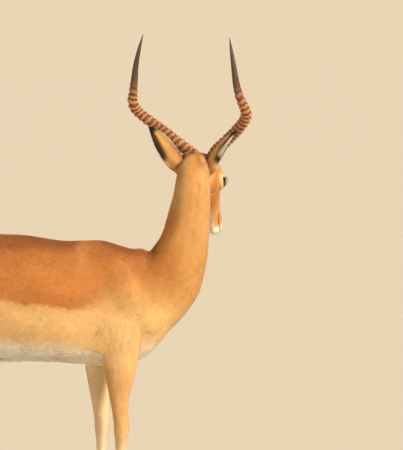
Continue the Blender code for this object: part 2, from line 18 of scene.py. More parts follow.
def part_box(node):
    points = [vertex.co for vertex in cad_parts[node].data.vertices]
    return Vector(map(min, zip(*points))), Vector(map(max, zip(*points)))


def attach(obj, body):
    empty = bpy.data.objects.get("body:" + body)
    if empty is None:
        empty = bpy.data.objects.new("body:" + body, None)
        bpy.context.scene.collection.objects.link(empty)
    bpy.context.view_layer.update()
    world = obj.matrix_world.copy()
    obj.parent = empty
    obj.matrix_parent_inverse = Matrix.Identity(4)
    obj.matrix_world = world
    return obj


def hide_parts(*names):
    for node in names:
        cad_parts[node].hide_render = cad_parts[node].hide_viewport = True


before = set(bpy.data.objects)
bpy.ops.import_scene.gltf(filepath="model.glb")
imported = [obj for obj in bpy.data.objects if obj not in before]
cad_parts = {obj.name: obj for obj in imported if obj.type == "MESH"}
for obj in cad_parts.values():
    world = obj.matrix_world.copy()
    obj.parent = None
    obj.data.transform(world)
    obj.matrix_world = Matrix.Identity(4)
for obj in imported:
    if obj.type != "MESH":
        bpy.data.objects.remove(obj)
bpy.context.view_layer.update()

# ---------------------------------------------------------------- driving dimensions
SIDES = ("left", 1), ("right", -1)          # the animal's left lies along +Y
SKIN_VOXEL = 0.0025
CAD_VOXEL, CAD_SMOOTHING = 0.0065, 6         # the skin is rounded as much as the CAD model is
SKIN_SMOOTHING = round(CAD_SMOOTHING * (CAD_VOXEL / SKIN_VOXEL) ** 2)
SKULL_SMOOTHING = round(SKIN_SMOOTHING * 0.8)
SEAM_SMOOTHING, TAIL_SMOOTHING, EAR_SMOOTHING, FACE_SMOOTHING = 80, 4, 6, 3
SMOOTHING_STRENGTH, GENTLE_STRENGTH = 0.6, 0.5
ROUNDING_LOSS = 0.0022                       # what the smoothing takes off the forms
COAT_DEPTH, COAT_DEPTH_BELOW = 0.0030, 0.0022        # on the body, and below the elbow
SKIN_TRIANGLES = 120_000
HEAD_THINNING, FOOT_THINNING = 0.80, 0.93    # how readily triangles go there, 1 elsewhere
COAT_SHARE = 1.0     # of the tufts that a finished render has

CORONET = 0.036
CORONET_SLOPE = math.radians(17)
HOOF_TOE_GAP = 0.0030
SKIN_IN_HOOF = 0.0030                        # how far the skin goes down inside the hoof
FOOT_TOP, FOOT_REACH = 0.090, 0.100          # a foot is below this and this near its toe in x
CARPUS = 0.292
HOCK = 0.365
FETLOCK = 0.088
ELBOW, STIFLE = 0.500, 0.600                 # above these a leg counts as body
LEG_REACH = 0.130                            # from a leg's middle line
FORELEG_X = 0.006
FORELEG_STEP = -0.066
HINDLEG_X = -0.600
HINDLEG_STEP = 0.052
FORE_TRACK = 0.058
HIND_TRACK = 0.066

HEAD_AT = Vector((0.268, 0.090, 1.190))
HEAD_YAW = math.radians(25.0)
HEAD_PITCH = math.radians(57.0)
HEAD_ROLL = math.radians(2.0)

HORN_RINGS = 20
HORN_RINGED_SHARE = 0.70
HORN_RING_HEIGHT = 0.0030
HORN_RING_WANDER = 0.22                      # how uneven the rings' distances are
EYE_RADIUS = 0.0185
EYE_AT = (0.112, 0.0440, 0.016)
EYE_OPENING = (0.0168, 0.0118)               # half length and half height between the lids
LID_THICKNESS = 0.0016
LID_BLEND = 0.0035
LID_REACH = 0.034
EYE_FRONT = -0.010                           # skin further out than this is round the eye
LID_EDGE = 0.10                              # points of the skin this near the opening's edge go on it
SOCKET_SHARE = 0.80                          # of the eyeball's radius, for the skin behind it
EAR_THICKNESS = 0.0060

# studio and camera
CAMERA_TARGET = Vector((0.276, 0.0, 0.967))
CAMERA_ELEVATION = 2.5
CAMERA_DISTANCE = 14.0
SENSOR_WIDTH = 36.0
PHOTO_WIDTH = 1.485                          # metres across the picture at the animal
FLOOR_REACH = 400.0
FLOOR_COLOUR = (0.73, 0.655, 0.53)
FLOOR_SHADE = (0.68, 0.605, 0.49)
HORIZON_COLOUR = (0.822, 0.670, 0.460)       # as the lit floor, so that no edge shows
ZENITH_COLOUR = (0.28, 0.25, 0.21)
LIGHTS = [  # name, where it shines from, degrees across, strength, colour
    ("key", (0.66, -0.58, 0.52), 9.0, 4.3, (1.0, 0.90, 0.76)),
    ("fill", (-0.75, -0.60, 0.16), 60.0, 0.55, (1.0, 0.91, 0.78)),
    ("back", (-0.25, 0.85, 0.55), 60.0, 0.60, (1.0, 0.94, 0.84)),
]

# colours, linear, judged
# the grooves' dark tone is partly the horn's own colour, partly painted shade; the palest ridge tone is
# partly wear, partly painted highlight
HORN_GROOVE = (0.165, 0.062, 0.025)
HORN_RIDGE = (0.54, 0.215, 0.072)
HORN_WORN_AND_LIT = (0.76, 0.450, 0.200)
HORN_TIP = (0.034, 0.022, 0.015)
HORN_TIP_PALE = (0.150, 0.098, 0.064)
SADDLE = (0.54, 0.202, 0.047)
TAN = (0.64, 0.318, 0.094)
GOLD = (0.74, 0.480, 0.205)
CREAM = (0.84, 0.735, 0.550)
WHITE = (0.88, 0.82, 0.72)
RUFOUS = (0.30, 0.095, 0.026)
UMBER = (0.110, 0.046, 0.020)
BLACK = (0.018, 0.012, 0.009)
FLESH = (0.42, 0.22, 0.15)


# ---------------------------------------------------------------- the head's axes
def turned_head_axes():
    """Axes (ahead, left, up) of the turned head before it points down."""
    ahead = Vector((math.sin(HEAD_YAW), math.cos(HEAD_YAW), 0.0))
    level_left = Vector((-math.cos(HEAD_YAW), math.sin(HEAD_YAW), 0.0))
    up = Vector((0.0, 0.0, 1.0))
    left = level_left * math.cos(HEAD_ROLL) + up * math.sin(HEAD_ROLL)
    return ahead, left, ahead.cross(left)


AHEAD, LEFT, UP = turned_head_axes()
NOSEWARD = AHEAD * math.cos(HEAD_PITCH) - UP * math.sin(HEAD_PITCH)
CROWNWARD = AHEAD * math.sin(HEAD_PITCH) + UP * math.cos(HEAD_PITCH)
HEAD_TURN = Matrix((NOSEWARD, LEFT, CROWNWARD)).transposed().to_4x4()


def on_head(x, y, z):
    """A point given along the face, to the head's left and towards its crown."""
    return HEAD_AT + NOSEWARD * x + LEFT * y + CROWNWARD * z


def beside_head(ahead, left, up):
    """A point given along the level axes of the turned head."""
    return HEAD_AT + AHEAD * ahead + LEFT * left + UP * up


def in_head(points):
    """Points as (along the face, to the head's left, towards its crown)."""
    axes = np.array((NOSEWARD, LEFT, CROWNWARD))
    return (points - np.array(HEAD_AT)) @ axes.T


eye_low, eye_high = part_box("eye_left")
TO_FRAME = Matrix.Translation((eye_low + eye_high) / 2 - on_head(*EYE_AT))


# ---------------------------------------------------------------- small tools
def curve_through(stations, steps):
    """Catmull-Rom values through the stations, tuples of numbers, steps to a span."""
    last = len(stations) - 1
    found = []
    for i in range(last):
        before, start = stations[max(i - 1, 0)], stations[i]
        end, after = stations[i + 1], stations[min(i + 2, last)]
        for k in range(steps):
            t = k / steps
            found.append(tuple(
                0.5 * (2 * b + (c - a) * t + (2 * a - 5 * b + 4 * c - d) * t * t
                       + (3 * b - a - 3 * c + d) * t ** 3)
                for a, b, c, d in zip(before, start, end, after)))
    found.append(tuple(float(v) for v in stations[last]))
    return found


def add_tube(bm, rings):
    """Closed skin over rings of equally many points."""
    loops = [[bm.verts.new(p) for p in ring] for ring in rings]
    sides = len(loops[0])
    for low, high in zip(loops, loops[1:]):
        for i in range(sides):
            j = (i + 1) % sides
            bm.faces.new((low[i], low[j], high[j], high[i]))
    bm.faces.new(loops[0][::-1])
    bm.faces.new(loops[-1])


def section(centre, side, up, half_side, half_up, half_down, sides, power):
    """Ring that reaches half_side both ways along side, half_up along up, half_down against it."""
    ring = []
    for i in range(sides):
        angle = 2 * math.pi * i / sides
        across, along = (math.copysign(abs(part) ** (2 / power), part)
                         for part in (math.cos(angle), math.sin(angle)))
        reach = half_up if along > 0 else half_down
        ring.append(centre + side * (across * half_side) + up * (along * reach))
    return ring


def on_body(x, y, z):
    """A point given along the body's own axes."""
    return Vector((x, y, z))


def loft(bm, stations, side, up=None, steps=6, sides=44, power=2.1, place=on_body):
    """Adds a body along stations of (x, y, z, half side, half up, half down).

    Sections stand at right angles to its course, or all face the same way if up is given.
    """
    fine = curve_through(stations, steps)
    centres = [place(*s[:3]) for s in fine]
    rings = []
    for i, (centre, station) in enumerate(zip(centres, fine)):
        along = (centres[min(i + 1, len(centres) - 1)] - centres[max(i - 1, 0)]).normalized()
        lift = up or along.cross(side).normalized()
        level = side if up else lift.cross(along).normalized()
        rings.append(section(centre, level, lift, *station[3:], sides, power))
    add_tube(bm, rings)


def loft_between(bm, profile, widest, side, place, **options):
    """Adds a body from a side profile of (x, top, bottom, half width)."""
    stations = []
    for x, top, bottom, half in profile:
        middle = bottom + widest * (top - bottom)
        stations.append((x, 0.0, middle, half, top - middle, middle - bottom))
    loft(bm, stations, side, place=place, **options)


def add_ball(bm, centre, radii, turn, segments=36):
    """Adds an ellipsoid; turn is a rotation matrix for its axes."""
    matrix = Matrix.Translation(centre) @ turn @ Matrix.Diagonal((*radii, 1.0))
    bmesh.ops.create_uvsphere(bm, u_segments=segments, v_segments=segments // 2, radius=1.0,
                              matrix=matrix)


def add_muscles(bm, muscles, place=on_body, turn=None):
    """Adds ellipsoids on both sides, from a centre, radii and how far each is pitched."""
    for side in (-1, 1):
        for (x, y, z), radii, *pitch in muscles:
            add_ball(bm, place(x, side * y, z), radii, turn or pitched(*pitch))


def pitched(degrees):
    """Turn about +Y: a positive angle lowers what points along +X."""
    return Matrix.Rotation(math.radians(degrees), 4, "Y")


def linked(name, data):
    """New object of the data, put into the scene."""
    obj = bpy.data.objects.new(name, data)
    bpy.context.scene.collection.objects.link(obj)
    return obj


def object_from(bm, name):
    """New object of the bmesh, which is used up."""
    bmesh.ops.recalc_face_normals(bm, faces=bm.faces)
    mesh = bpy.data.meshes.new(name)
    bm.to_mesh(mesh)
    bm.free()
    mesh.shade_smooth()
    return linked(name, mesh)


def put_back(bm, mesh):
    """Puts the bmesh, which is used up, into the mesh as smooth triangles."""
    bmesh.ops.triangulate(bm, faces=[f for f in bm.faces if len(f.verts) > 3])
    bm.to_mesh(mesh)
    bm.free()
    mesh.shade_smooth()


def apply_modifiers(obj):
    """Puts the mesh that the modifiers give in place of the object's own."""
    bm = bmesh.new()
    bm.from_object(obj, bpy.context.evaluated_depsgraph_get())
    put_back(bm, obj.data)
    obj.modifiers.clear()


def read(items, key, kind=np.float32):
    """The three numbers that each item has under the key."""
    found = np.empty(len(items) * 3, kind)
    items.foreach_get(key, found)
    return found.reshape(-1, 3)


def points_of(mesh):
    return read(mesh.vertices, "co").astype(float)


def normals_of(mesh):
    return read(mesh.vertex_normals, "vector").astype(float)


def triangles_of(mesh):
    mesh.calc_loop_triangles()
    return read(mesh.loop_triangles, "vertices", np.int32)


def paint(mesh, name, colours):
    """Stores a colour for each vertex."""
    layer = mesh.color_attributes.new(name, "FLOAT_COLOR", "POINT")
    full = np.ones((len(colours), 4), np.float32)
    full[:, :3] = colours
    layer.data.foreach_set("color", full.ravel())


def store(mesh, name, values):
    """Stores a number, or a vector, for each vertex."""
    vector = values.ndim == 2
    layer = mesh.attributes.new(name, "FLOAT_VECTOR" if vector else "FLOAT", "POINT")
    layer.data.foreach_set("vector" if vector else "value", values.astype(np.float32).ravel())


def unit(vectors):
    length = np.linalg.norm(vectors, axis=-1, keepdims=True)
    return vectors / np.maximum(length, 1e-9)


def step(low, high, values):
    """Smooth rise from 0 at low to 1 at high; high may be the smaller."""
    t = np.clip((values - low) / (high - low), 0.0, 1.0)
    return t * t * (3 - 2 * t)


def read_off(table, places, column=1):
    """The table's values at places, which its first column lists."""
    return np.interp(places, *(np.array([row[k] for row in table]) for k in (0, column)))


def mix(first, second, share):
    """Colours between first and second."""
    share = np.asarray(share)[..., None]
    return np.asarray(first) * (1 - share) + np.asarray(second) * share


def soft_noise(points, size, seed, waves=14):
    """Smooth random values of about -1 to 1 whose features measure about size."""
    rng = np.random.default_rng(seed)
    directions = unit(rng.normal(size=(waves, 3)))
    pitch = 2 * math.pi / (size * rng.uniform(1.4, 3.2, waves))
    phase = rng.uniform(0, 2 * math.pi, waves)
    return np.sin(points @ (directions * pitch[:, None]).T + phase).sum(1) / math.sqrt(waves)


def nearest_on(points, path):
    """For each point: distance to the polyline, share of its length there, its direction."""
    path = np.asarray([tuple(p) for p in path], float)
    spans = path[1:] - path[:-1]
    lengths = np.linalg.norm(spans, axis=1)
    before = np.concatenate([[0.0], np.cumsum(lengths)])
    best = np.full(len(points), np.inf)
    share = np.zeros(len(points))
    direction = np.zeros((len(points), 3))
    for start, span, length, gone in zip(path, spans, lengths, before):
        t = np.clip((points - start) @ span / length ** 2, 0.0, 1.0)
        distance = np.linalg.norm(points - start - t[:, None] * span, axis=1)
        closer = distance < best
        best[closer] = distance[closer]
        share[closer] = (gone + t[closer] * length) / before[-1]
        direction[closer] = span / length
    return best, share, direction


def near(points, path, reach):
    """1 on the polyline, falling softly to 0 over about twice the reach."""
    return np.exp(-(nearest_on(points, path)[0] / reach) ** 2)


# ---------------------------------------------------------------- flesh forms, as in the CAD model
TRUNK_PROFILE = [  # x, height of the back, height of the belly, half width
    (-0.748, 0.812, 0.700, 0.026),
    (-0.730, 0.856, 0.660, 0.054),
    (-0.685, 0.900, 0.622, 0.084),
    (-0.625, 0.926, 0.600, 0.101),
    (-0.550, 0.938, 0.596, 0.107),
    (-0.470, 0.940, 0.560, 0.113),
    (-0.389, 0.937, 0.529, 0.121),
    (-0.300, 0.933, 0.518, 0.125),
    (-0.190, 0.916, 0.514, 0.119),
    (-0.115, 0.916, 0.508, 0.108),
    (-0.046, 0.915, 0.504, 0.096),
    (0.040, 0.890, 0.514, 0.086),
    (0.088, 0.888, 0.530, 0.082),
    (0.125, 0.850, 0.562, 0.076),
    (0.165, 0.820, 0.612, 0.064),
    (0.200, 0.780, 0.656, 0.042),
]
TRUNK_MUSCLES = [  # on both sides: centre, radii, degrees that it is pitched down in front
    ((0.018, 0.058, 0.745), (0.068, 0.039, 0.135), -24),
    ((0.088, 0.052, 0.664), (0.052, 0.038, 0.066), -30),
    ((-0.030, 0.064, 0.620), (0.066, 0.034, 0.090), 20),
    ((-0.625, 0.060, 0.755), (0.112, 0.054, 0.140), 8),
    ((-0.516, 0.064, 0.655), (0.056, 0.036, 0.105), -24),
    ((-0.525, 0.048, 0.889), (0.080, 0.034, 0.030), 0),
]


def trunk_forms(bm):
    loft_between(bm, TRUNK_PROFILE, 0.47, Vector((0, 1, 0)), on_body, up=Vector((0, 0, 1)),
                 sides=64, power=2.15)
    add_muscles(bm, TRUNK_MUSCLES)
    add_ball(bm, (-0.395, 0.0, 0.528), (0.062, 0.013, 0.014), pitched(-12))
    add_ball(bm, (-0.512, 0.0, 0.566), (0.024, 0.018, 0.044), Matrix())


NECK_STATIONS = [  # centre, half width, half depth towards the throat, half depth towards the nape
    (0.040, 0.000, 0.700, 0.076, 0.148, 0.120),
    (0.100, 0.000, 0.755, 0.079, 0.148, 0.112),
    (0.152, 0.000, 0.812, 0.076, 0.138, 0.084),
    (0.188, 0.000, 0.868, 0.070, 0.113, 0.072),
    (0.210, 0.000, 0.920, 0.065, 0.093, 0.065),
    (0.226, 0.000, 0.970, 0.062, 0.078, 0.066),
    (0.237, 0.001, 1.020, 0.059, 0.067, 0.064),
    (0.244, 0.004, 1.068, 0.058, 0.061, 0.060),
    (0.249, 0.014, 1.108, 0.057, 0.055, 0.058),
    (0.255, 0.034, 1.142, 0.053, 0.050, 0.056),
    (0.262, 0.062, 1.163, 0.046, 0.046, 0.044),
    (0.268, 0.088, 1.172, 0.036, 0.036, 0.030),
]


HEAD_PROFILE = [  # along the face, height of the forehead line, of the jaw line, half width
    (-0.012, 0.008, -0.046, 0.034),
    (0.006, 0.028, -0.064, 0.047),
    (0.040, 0.045, -0.078, 0.052),
    (0.078, 0.051, -0.080, 0.052),
    (0.112, 0.048, -0.073, 0.049),
    (0.150, 0.040, -0.061, 0.040),
    (0.188, 0.032, -0.051, 0.0325),
    (0.225, 0.0255, -0.044, 0.0275),
    (0.258, 0.020, -0.041, 0.0265),
    (0.278, 0.014, -0.039, 0.0255),
    (0.292, 0.004, -0.034, 0.0205),
    (0.299, -0.008, -0.027, 0.0120),
]
HEAD_MUSCLES = [  # on both sides, in head places: centre, radii
    ((0.106, 0.038, 0.025), (0.040, 0.0210, 0.0200)),
    ((0.062, 0.029, 0.034), (0.034, 0.022, 0.019)),
    ((0.068, 0.034, -0.036), (0.048, 0.020, 0.040)),
    ((0.022, 0.042, -0.004), (0.034, 0.015, 0.034)),
    ((0.009, 0.049, 0.009), (0.024, 0.019, 0.018)),
    ((0.278, 0.013, 0.004), (0.018, 0.0120, 0.013)),
]


def head_forms(bm):
    loft_between(bm, HEAD_PROFILE, 0.5, LEFT, on_head, up=CROWNWARD, sides=60, power=2.3)
    add_muscles(bm, HEAD_MUSCLES, on_head, HEAD_TURN)
    add_ball(bm, on_head(0.262, 0.0, -0.037), (0.026, 0.0175, 0.011), HEAD_TURN)


FORELEG = [  # from shoulder to sole: centre from x where it stands and y of its track, sizes
    (0.012, 0.006, 0.660, 0.034, 0.070, 0.072),
    (0.008, 0.008, 0.590, 0.036, 0.064, 0.068),
    (0.005, 0.008, 0.530, 0.035, 0.058, 0.060),
    (0.003, 0.006, 0.478, 0.031, 0.050, 0.051),
    (-0.001, 0.004, 0.420, 0.026, 0.037, 0.036),
    (0.001, 0.002, 0.365, 0.0225, 0.029, 0.027),
    (0.006, 0.0, CARPUS + 0.020, 0.0225, 0.0265, 0.0250),
    (0.007, 0.0, CARPUS - 0.006, 0.0220, 0.0245, 0.0255),
    (0.005, 0.0, 0.248, 0.0170, 0.0175, 0.0195),
    (0.004, 0.0, 0.190, 0.0150, 0.0150, 0.0170),
    (0.004, 0.0, 0.130, 0.0155, 0.0155, 0.0175),
    (0.006, 0.0, FETLOCK + 0.006, 0.0200, 0.0195, 0.0225),
    (0.014, 0.0, 0.064, 0.0185, 0.0170, 0.0190),
    (0.022, 0.0, 0.040, 0.0205, 0.0195, 0.0195),
    (0.026, 0.0, 0.014, 0.0205, 0.0195, 0.0195),
]
HINDLEG = [  # the same from the haunch
    (-0.016, -0.006, 0.800, 0.040, 0.100, 0.116),
    (-0.006, 0.003, 0.722, 0.049, 0.114, 0.131),
    (0.010, 0.007, 0.645, 0.046, 0.110, 0.131),
    (0.018, 0.008, 0.580, 0.039, 0.098, 0.113),
    (0.006, 0.006, 0.520, 0.032, 0.070, 0.080),
    (-0.013, 0.003, 0.462, 0.025, 0.044, 0.050),
    (-0.034, 0.0, HOCK + 0.044, 0.0205, 0.029, 0.031),
    (-0.048, 0.0, HOCK + 0.004, 0.0225, 0.027, 0.031),
    (-0.050, 0.0, HOCK - 0.045, 0.0200, 0.0225, 0.0240),
    (-0.043, 0.0, 0.255, 0.0165, 0.0170, 0.0190),
    (-0.037, 0.0, 0.190, 0.0160, 0.0160, 0.0185),
    (-0.032, 0.0, 0.135, 0.0165, 0.0165, 0.0190),
    (-0.028, 0.0, FETLOCK + 0.006, 0.0205, 0.0205, 0.0235),
    (-0.019, 0.0, 0.065, 0.0190, 0.0175, 0.0200),
    (-0.010, 0.0, 0.040, 0.0210, 0.0200, 0.0195),
    (-0.006, 0.0, 0.014, 0.0210, 0.0200, 0.0195),
]
HEEL_CORD = [  # the same for the point of the hock and the tendon above it
    (-0.024, 0.003, 0.560, 0.010, 0.014, 0.014),
    (-0.047, 0.002, 0.500, 0.010, 0.014, 0.014),
    (-0.064, 0.0, HOCK + 0.080, 0.0085, 0.011, 0.011),
    (-0.074, 0.0, HOCK + 0.040, 0.0110, 0.012, 0.012),
    (-0.074, 0.0, HOCK + 0.012, 0.0130, 0.013, 0.013),
    (-0.066, 0.0, HOCK - 0.022, 0.0110, 0.012, 0.012),
    (-0.054, 0.0, HOCK - 0.060, 0.0060, 0.008, 0.008),
]
TAIL_X = -0.752      # behind this all flesh is tail
TAIL_CORE = [  # the tail under its hair: centre, half width, half depths
    (-0.700, 0.0, 0.868, 0.017, 0.015, 0.015),
    (-0.738, 0.0, 0.848, 0.016, 0.013, 0.013),
    (-0.768, 0.0, 0.790, 0.014, 0.011, 0.011),
    (-0.778, 0.0, 0.715, 0.012, 0.009, 0.009),
    (-0.780, 0.0, 0.650, 0.009, 0.007, 0.007),
    (-0.780, 0.0, 0.600, 0.004, 0.003, 0.003),
]


class Leg:
    """One leg: side is 1 on the animal's left, x and track say where it stands."""

    def __init__(self, name, side, x, track, stations):
        self.name, self.side, self.foot = name, side, (x, side * track, 0.0)
        self.hind = stations is HINDLEG
        self.top = STIFLE if self.hind else ELBOW
        self.courses = [[(*Vector((x + s[0], side * (track + s[1]), s[2])), *s[3:]) for s in course]
                        for course in ([stations, HEEL_CORD] if self.hind else [stations])]
        self.path = [s[:3] for s in self.courses[0]]
        self.toe_x = x + stations[-2][0]

    def local(self, points):
        """Points measured from where the leg stands."""
        return points - self.foot

    def coronet(self):
        """A point and the upward normal of the plane between the leg and its hoof."""
        normal = Vector((-math.sin(CORONET_SLOPE), 0.0, math.cos(CORONET_SLOPE)))
        return Vector((self.toe_x, 0.0, CORONET)), normal


LEGS = [
    Leg("foreleg_right", -1, FORELEG_X, FORE_TRACK, FORELEG),
    Leg("foreleg_left", 1, FORELEG_X + FORELEG_STEP, FORE_TRACK, FORELEG),
    Leg("hindleg_right", -1, HINDLEG_X, HIND_TRACK, HINDLEG),
    Leg("hindleg_left", 1, HINDLEG_X + HINDLEG_STEP, HIND_TRACK, HINDLEG),
]


def leg_forms(bm):
    for leg in LEGS:
        for course, sides in zip(leg.courses, (36, 20)):
            loft(bm, course, Vector((0, 1, 0)), sides=sides)


# ---------------------------------------------------------------- ears
EAR_OUTLINE = [  # share of the length, half width
    (0.0, 0.022), (0.14, 0.029), (0.32, 0.0340), (0.52, 0.0325), (0.72, 0.026), (0.88, 0.0145),
    (1.0, 0.0030),
]


class Ear:
    """One ear: a cupped leaf whose open side faces ahead and outwards."""

    def __init__(self, side):
        self.side = side
        self.root = beside_head(-0.034, side * 0.046, -0.040)
        self.tip = beside_head(-0.055, side * 0.160, 0.093)
        self.along = (self.tip - self.root).normalized()
        facing = AHEAD * 0.50 + LEFT * (side * 0.87)
        self.facing = (facing - self.along * facing.dot(self.along)).normalized()
        self.across = self.along.cross(self.facing)
        self.length = (self.tip - self.root).length
        self.widths = curve_through(EAR_OUTLINE, 6)

    def half_width(self, share):
        return read_off(self.widths, share)

    def form(self, bm, lengthwise=48, crosswise=26, sunk=0.10):
        """Adds the ear; a share of its length, sunk, is hidden in the head."""
        rings = []
        for i in range(lengthwise + 1):
            share = i / lengthwise * (1 + sunk) - sunk
            width = float(self.half_width(share))
            curl = math.radians(100 - 55 * share)    # how far the rims are rolled forward
            bow = 0.010 * math.sin(math.pi * share)
            thickness = EAR_THICKNESS * (0.75 - 0.45 * share)
            radius = width / math.sin(max(curl, 0.3)) if curl < math.pi / 2 else width
            outer, inner = [], []
            for j in range(crosswise + 1):
                angle = curl * (2 * j / crosswise - 1)
                deep = radius * (1 - math.cos(angle)) - radius * 0.4
                for points, inset in ((outer, 0.0), (inner, thickness)):
                    spread = (radius - inset) * math.sin(angle)
                    points.append(self.root + self.along * (share * self.length)
                                  + self.across * spread
                                  + self.facing * (deep + inset * math.cos(angle) - bow))
            rings.append(outer + inner[::-1])
        add_tube(bm, rings)

    def lengthwise(self, points):
        """Offset from the root and share of the ear's length of each point."""
        offset = points - np.array(self.root)
        return offset, offset @ np.array(self.along) / self.length

    def beside(self, points):
        """Share of the length and distance from the ear's middle line."""
        offset, share = self.lengthwise(points)
        return share, np.linalg.norm(offset - np.outer(share * self.length, self.along), axis=1)

    def places(self, points, normals):
        """Share of the length, sideways place from -1 to 1, and how far the skin faces inwards."""
        offset, share = self.lengthwise(points)
        sideways = offset @ np.array(self.across) / np.maximum(self.half_width(share), 0.004)
        return share, sideways, normals @ np.array(self.facing)


EARS = [Ear(side) for _, side in SIDES]
EAR_MARGIN = 0.012      # how far beyond its half width an ear's skin can lie from its middle line


def on_ears(points):
    """For each point the side of the ear that it belongs to, 0 if to none."""
    found = np.zeros(len(points))
    for ear in EARS:
        share, beside = ear.beside(points)
        away = in_head(points)[:, 1] * ear.side > 0.036
        close = beside < ear.half_width(share) + EAR_MARGIN
        found[(share > 0.10) & (share < 1.05) & close & away] = ear.side
    return found


def each_ear(points):
    """Each ear, and which of the points belong to it."""
    sides = on_ears(points)
    for ear in EARS:
        yield ear, sides == ear.side


def ear_seam(points):
    """Whether each point lies where an ear joins the head."""
    found = np.zeros(len(points), bool)
    for ear in EARS:
        share, beside = ear.beside(points)
        found |= (np.abs(share - 0.03) < 0.10) & (beside < 0.030)
    return found


# ---------------------------------------------------------------- the skin
def leg_of(points):
    """For each point the number of the leg that it belongs to below the body, -1 if to none."""
    found = np.full(len(points), -1)
    for number, leg in enumerate(LEGS):
        mine = (points[:, 2] < leg.top) & (points[:, 1] * leg.side > 0)
        mine &= nearest_on(points, leg.path)[0] < LEG_REACH
        found[mine] = number
    return found


def each_leg(points):
    """Each leg, and which of the points belong to it below the body."""
    numbers = leg_of(points)
    for number, leg in enumerate(LEGS):
        yield leg, numbers == number


def coat_depth(points):
    """How far the skin lies under the tips of the coat."""
    depth = np.where(points[:, 2] < ELBOW, COAT_DEPTH_BELOW, COAT_DEPTH)
    head = in_head(points)
    on_face = step(0.03, 0.10, head[:, 0]) * step(0.16, 0.12, np.abs(head[:, 1]))
    depth = depth * (1 - 0.55 * on_face * (points[:, 2] > 0.9))
    depth[on_ears(points) != 0] = ROUNDING_LOSS + 0.0003
    depth[points[:, 0] < TAIL_X] = ROUNDING_LOSS
    return depth


# Rises and hollows of the body: place in x, distance from the middle and height; reach; height.
BODY_RELIEF = [
    ([(0.122, 0.070, 0.770), (0.150, 0.064, 0.723), (0.163, 0.054, 0.680), (0.158, 0.050, 0.627)],
     0.011, -0.0045),                                             # front of the shoulder
    ([(0.020, 0.070, 0.870), (0.050, 0.088, 0.780), (0.075, 0.092, 0.700)], 0.020, 0.0025),
    ([(-0.082, 0.100, 0.820), (-0.078, 0.105, 0.700), (-0.070, 0.095, 0.600)], 0.030, -0.0050),
    ([(0.060, 0.090, 0.600), (0.010, 0.100, 0.560), (-0.040, 0.095, 0.590)], 0.013, -0.0022),
    ([(-0.480, 0.105, 0.850), (-0.465, 0.115, 0.770)], 0.042, -0.0090),       # hollow flank
    ([(-0.508, 0.086, 0.895), (-0.545, 0.080, 0.900)], 0.022, 0.0022),        # hip bone
    ([(-0.480, 0.115, 0.690), (-0.430, 0.105, 0.600), (-0.400, 0.090, 0.560)], 0.016, 0.0045),
    ([(-0.700, 0.075, 0.820), (-0.680, 0.098, 0.720), (-0.665, 0.100, 0.620)], 0.012, -0.0040),
    ([(-0.560, 0.105, 0.800), (-0.545, 0.112, 0.700)], 0.030, 0.0030),
    ([(0.262, 0.044, 1.100), (0.250, 0.048, 0.980), (0.235, 0.052, 0.880), (0.205, 0.056, 0.780)],
     0.012, -0.0030),                                             # groove along the throat
    ([(0.215, 0.060, 1.060), (0.190, 0.066, 0.950), (0.140, 0.076, 0.850)], 0.018, 0.0020),
]
SHOULDER_SEAM = [(-0.050, 0.085, 0.660), (0.090, 0.085, 0.660)]      # where the foreleg joins the body
RIBS = (-0.135, -0.175, -0.215, -0.255, -0.295, -0.335)
NECK_FOLDS = [  # where the raised neck creases the coat in front of the withers
    [(0.074, 0.022, 0.884), (0.092, 0.045, 0.868), (0.104, 0.060, 0.846)],
    [(0.090, 0.020, 0.889), (0.108, 0.040, 0.872), (0.122, 0.056, 0.848)],
    [(0.106, 0.016, 0.897), (0.122, 0.036, 0.880), (0.137, 0.052, 0.858)],
]
BODY_RELIEF += [([(x + 0.030, 0.108, 0.830), (x, 0.122, 0.720), (x - 0.012, 0.112, 0.610)],
                 0.011, 0.0011) for x in RIBS]
BODY_RELIEF += [(path, 0.0045, -0.0034) for path in NECK_FOLDS]
WITHERS_FOLD = [(-0.030, 0.025, 0.912), (0.050, 0.032, 0.890), (0.118, 0.034, 0.890)]
# The same on a leg: place from where it stands and from its own middle; both faces have it.
FORELEG_RELIEF = [
    ([(-0.006, 0.016, 0.262), (-0.007, 0.015, 0.115)], 0.0050, -0.0026),      # before the tendon
    ([(0.010, 0.018, 0.315), (0.012, 0.018, 0.280)], 0.0080, 0.0016),         # knee
    ([(-0.020, 0.010, 0.310), (-0.020, 0.010, 0.285)], 0.0060, 0.0018),
    ([(0.004, 0.024, 0.420), (0.004, 0.021, 0.340)], 0.0070, -0.0018),
    ([(-0.010, 0.012, 0.104), (-0.010, 0.010, 0.090)], 0.0070, 0.0016),
]
HINDLEG_RELIEF = [
    ([(-0.040, 0.020, 0.500), (-0.054, 0.019, 0.440), (-0.062, 0.018, 0.405)], 0.0085, -0.0036),
    ([(-0.046, 0.016, 0.330), (-0.045, 0.015, 0.250), (-0.038, 0.015, 0.130)], 0.0050, -0.0026),
    ([(-0.040, 0.020, 0.385), (-0.044, 0.020, 0.360)], 0.0090, 0.0018),
    ([(-0.038, 0.012, 0.104), (-0.038, 0.010, 0.090)], 0.0070, 0.0016),
]
MOUTH = [(0.2990, 0.000, -0.0200), (0.2965, 0.0160, -0.0215), (0.2900, 0.0224, -0.0225),
         (0.2700, 0.0260, -0.0225), (0.2450, 0.0262, -0.0215), (0.2220, 0.0280, -0.0165)]
NOSTRIL = [(0.2982, 0.0068, -0.0100), (0.2975, 0.0098, -0.0055), (0.2958, 0.0130, 0.0000)]
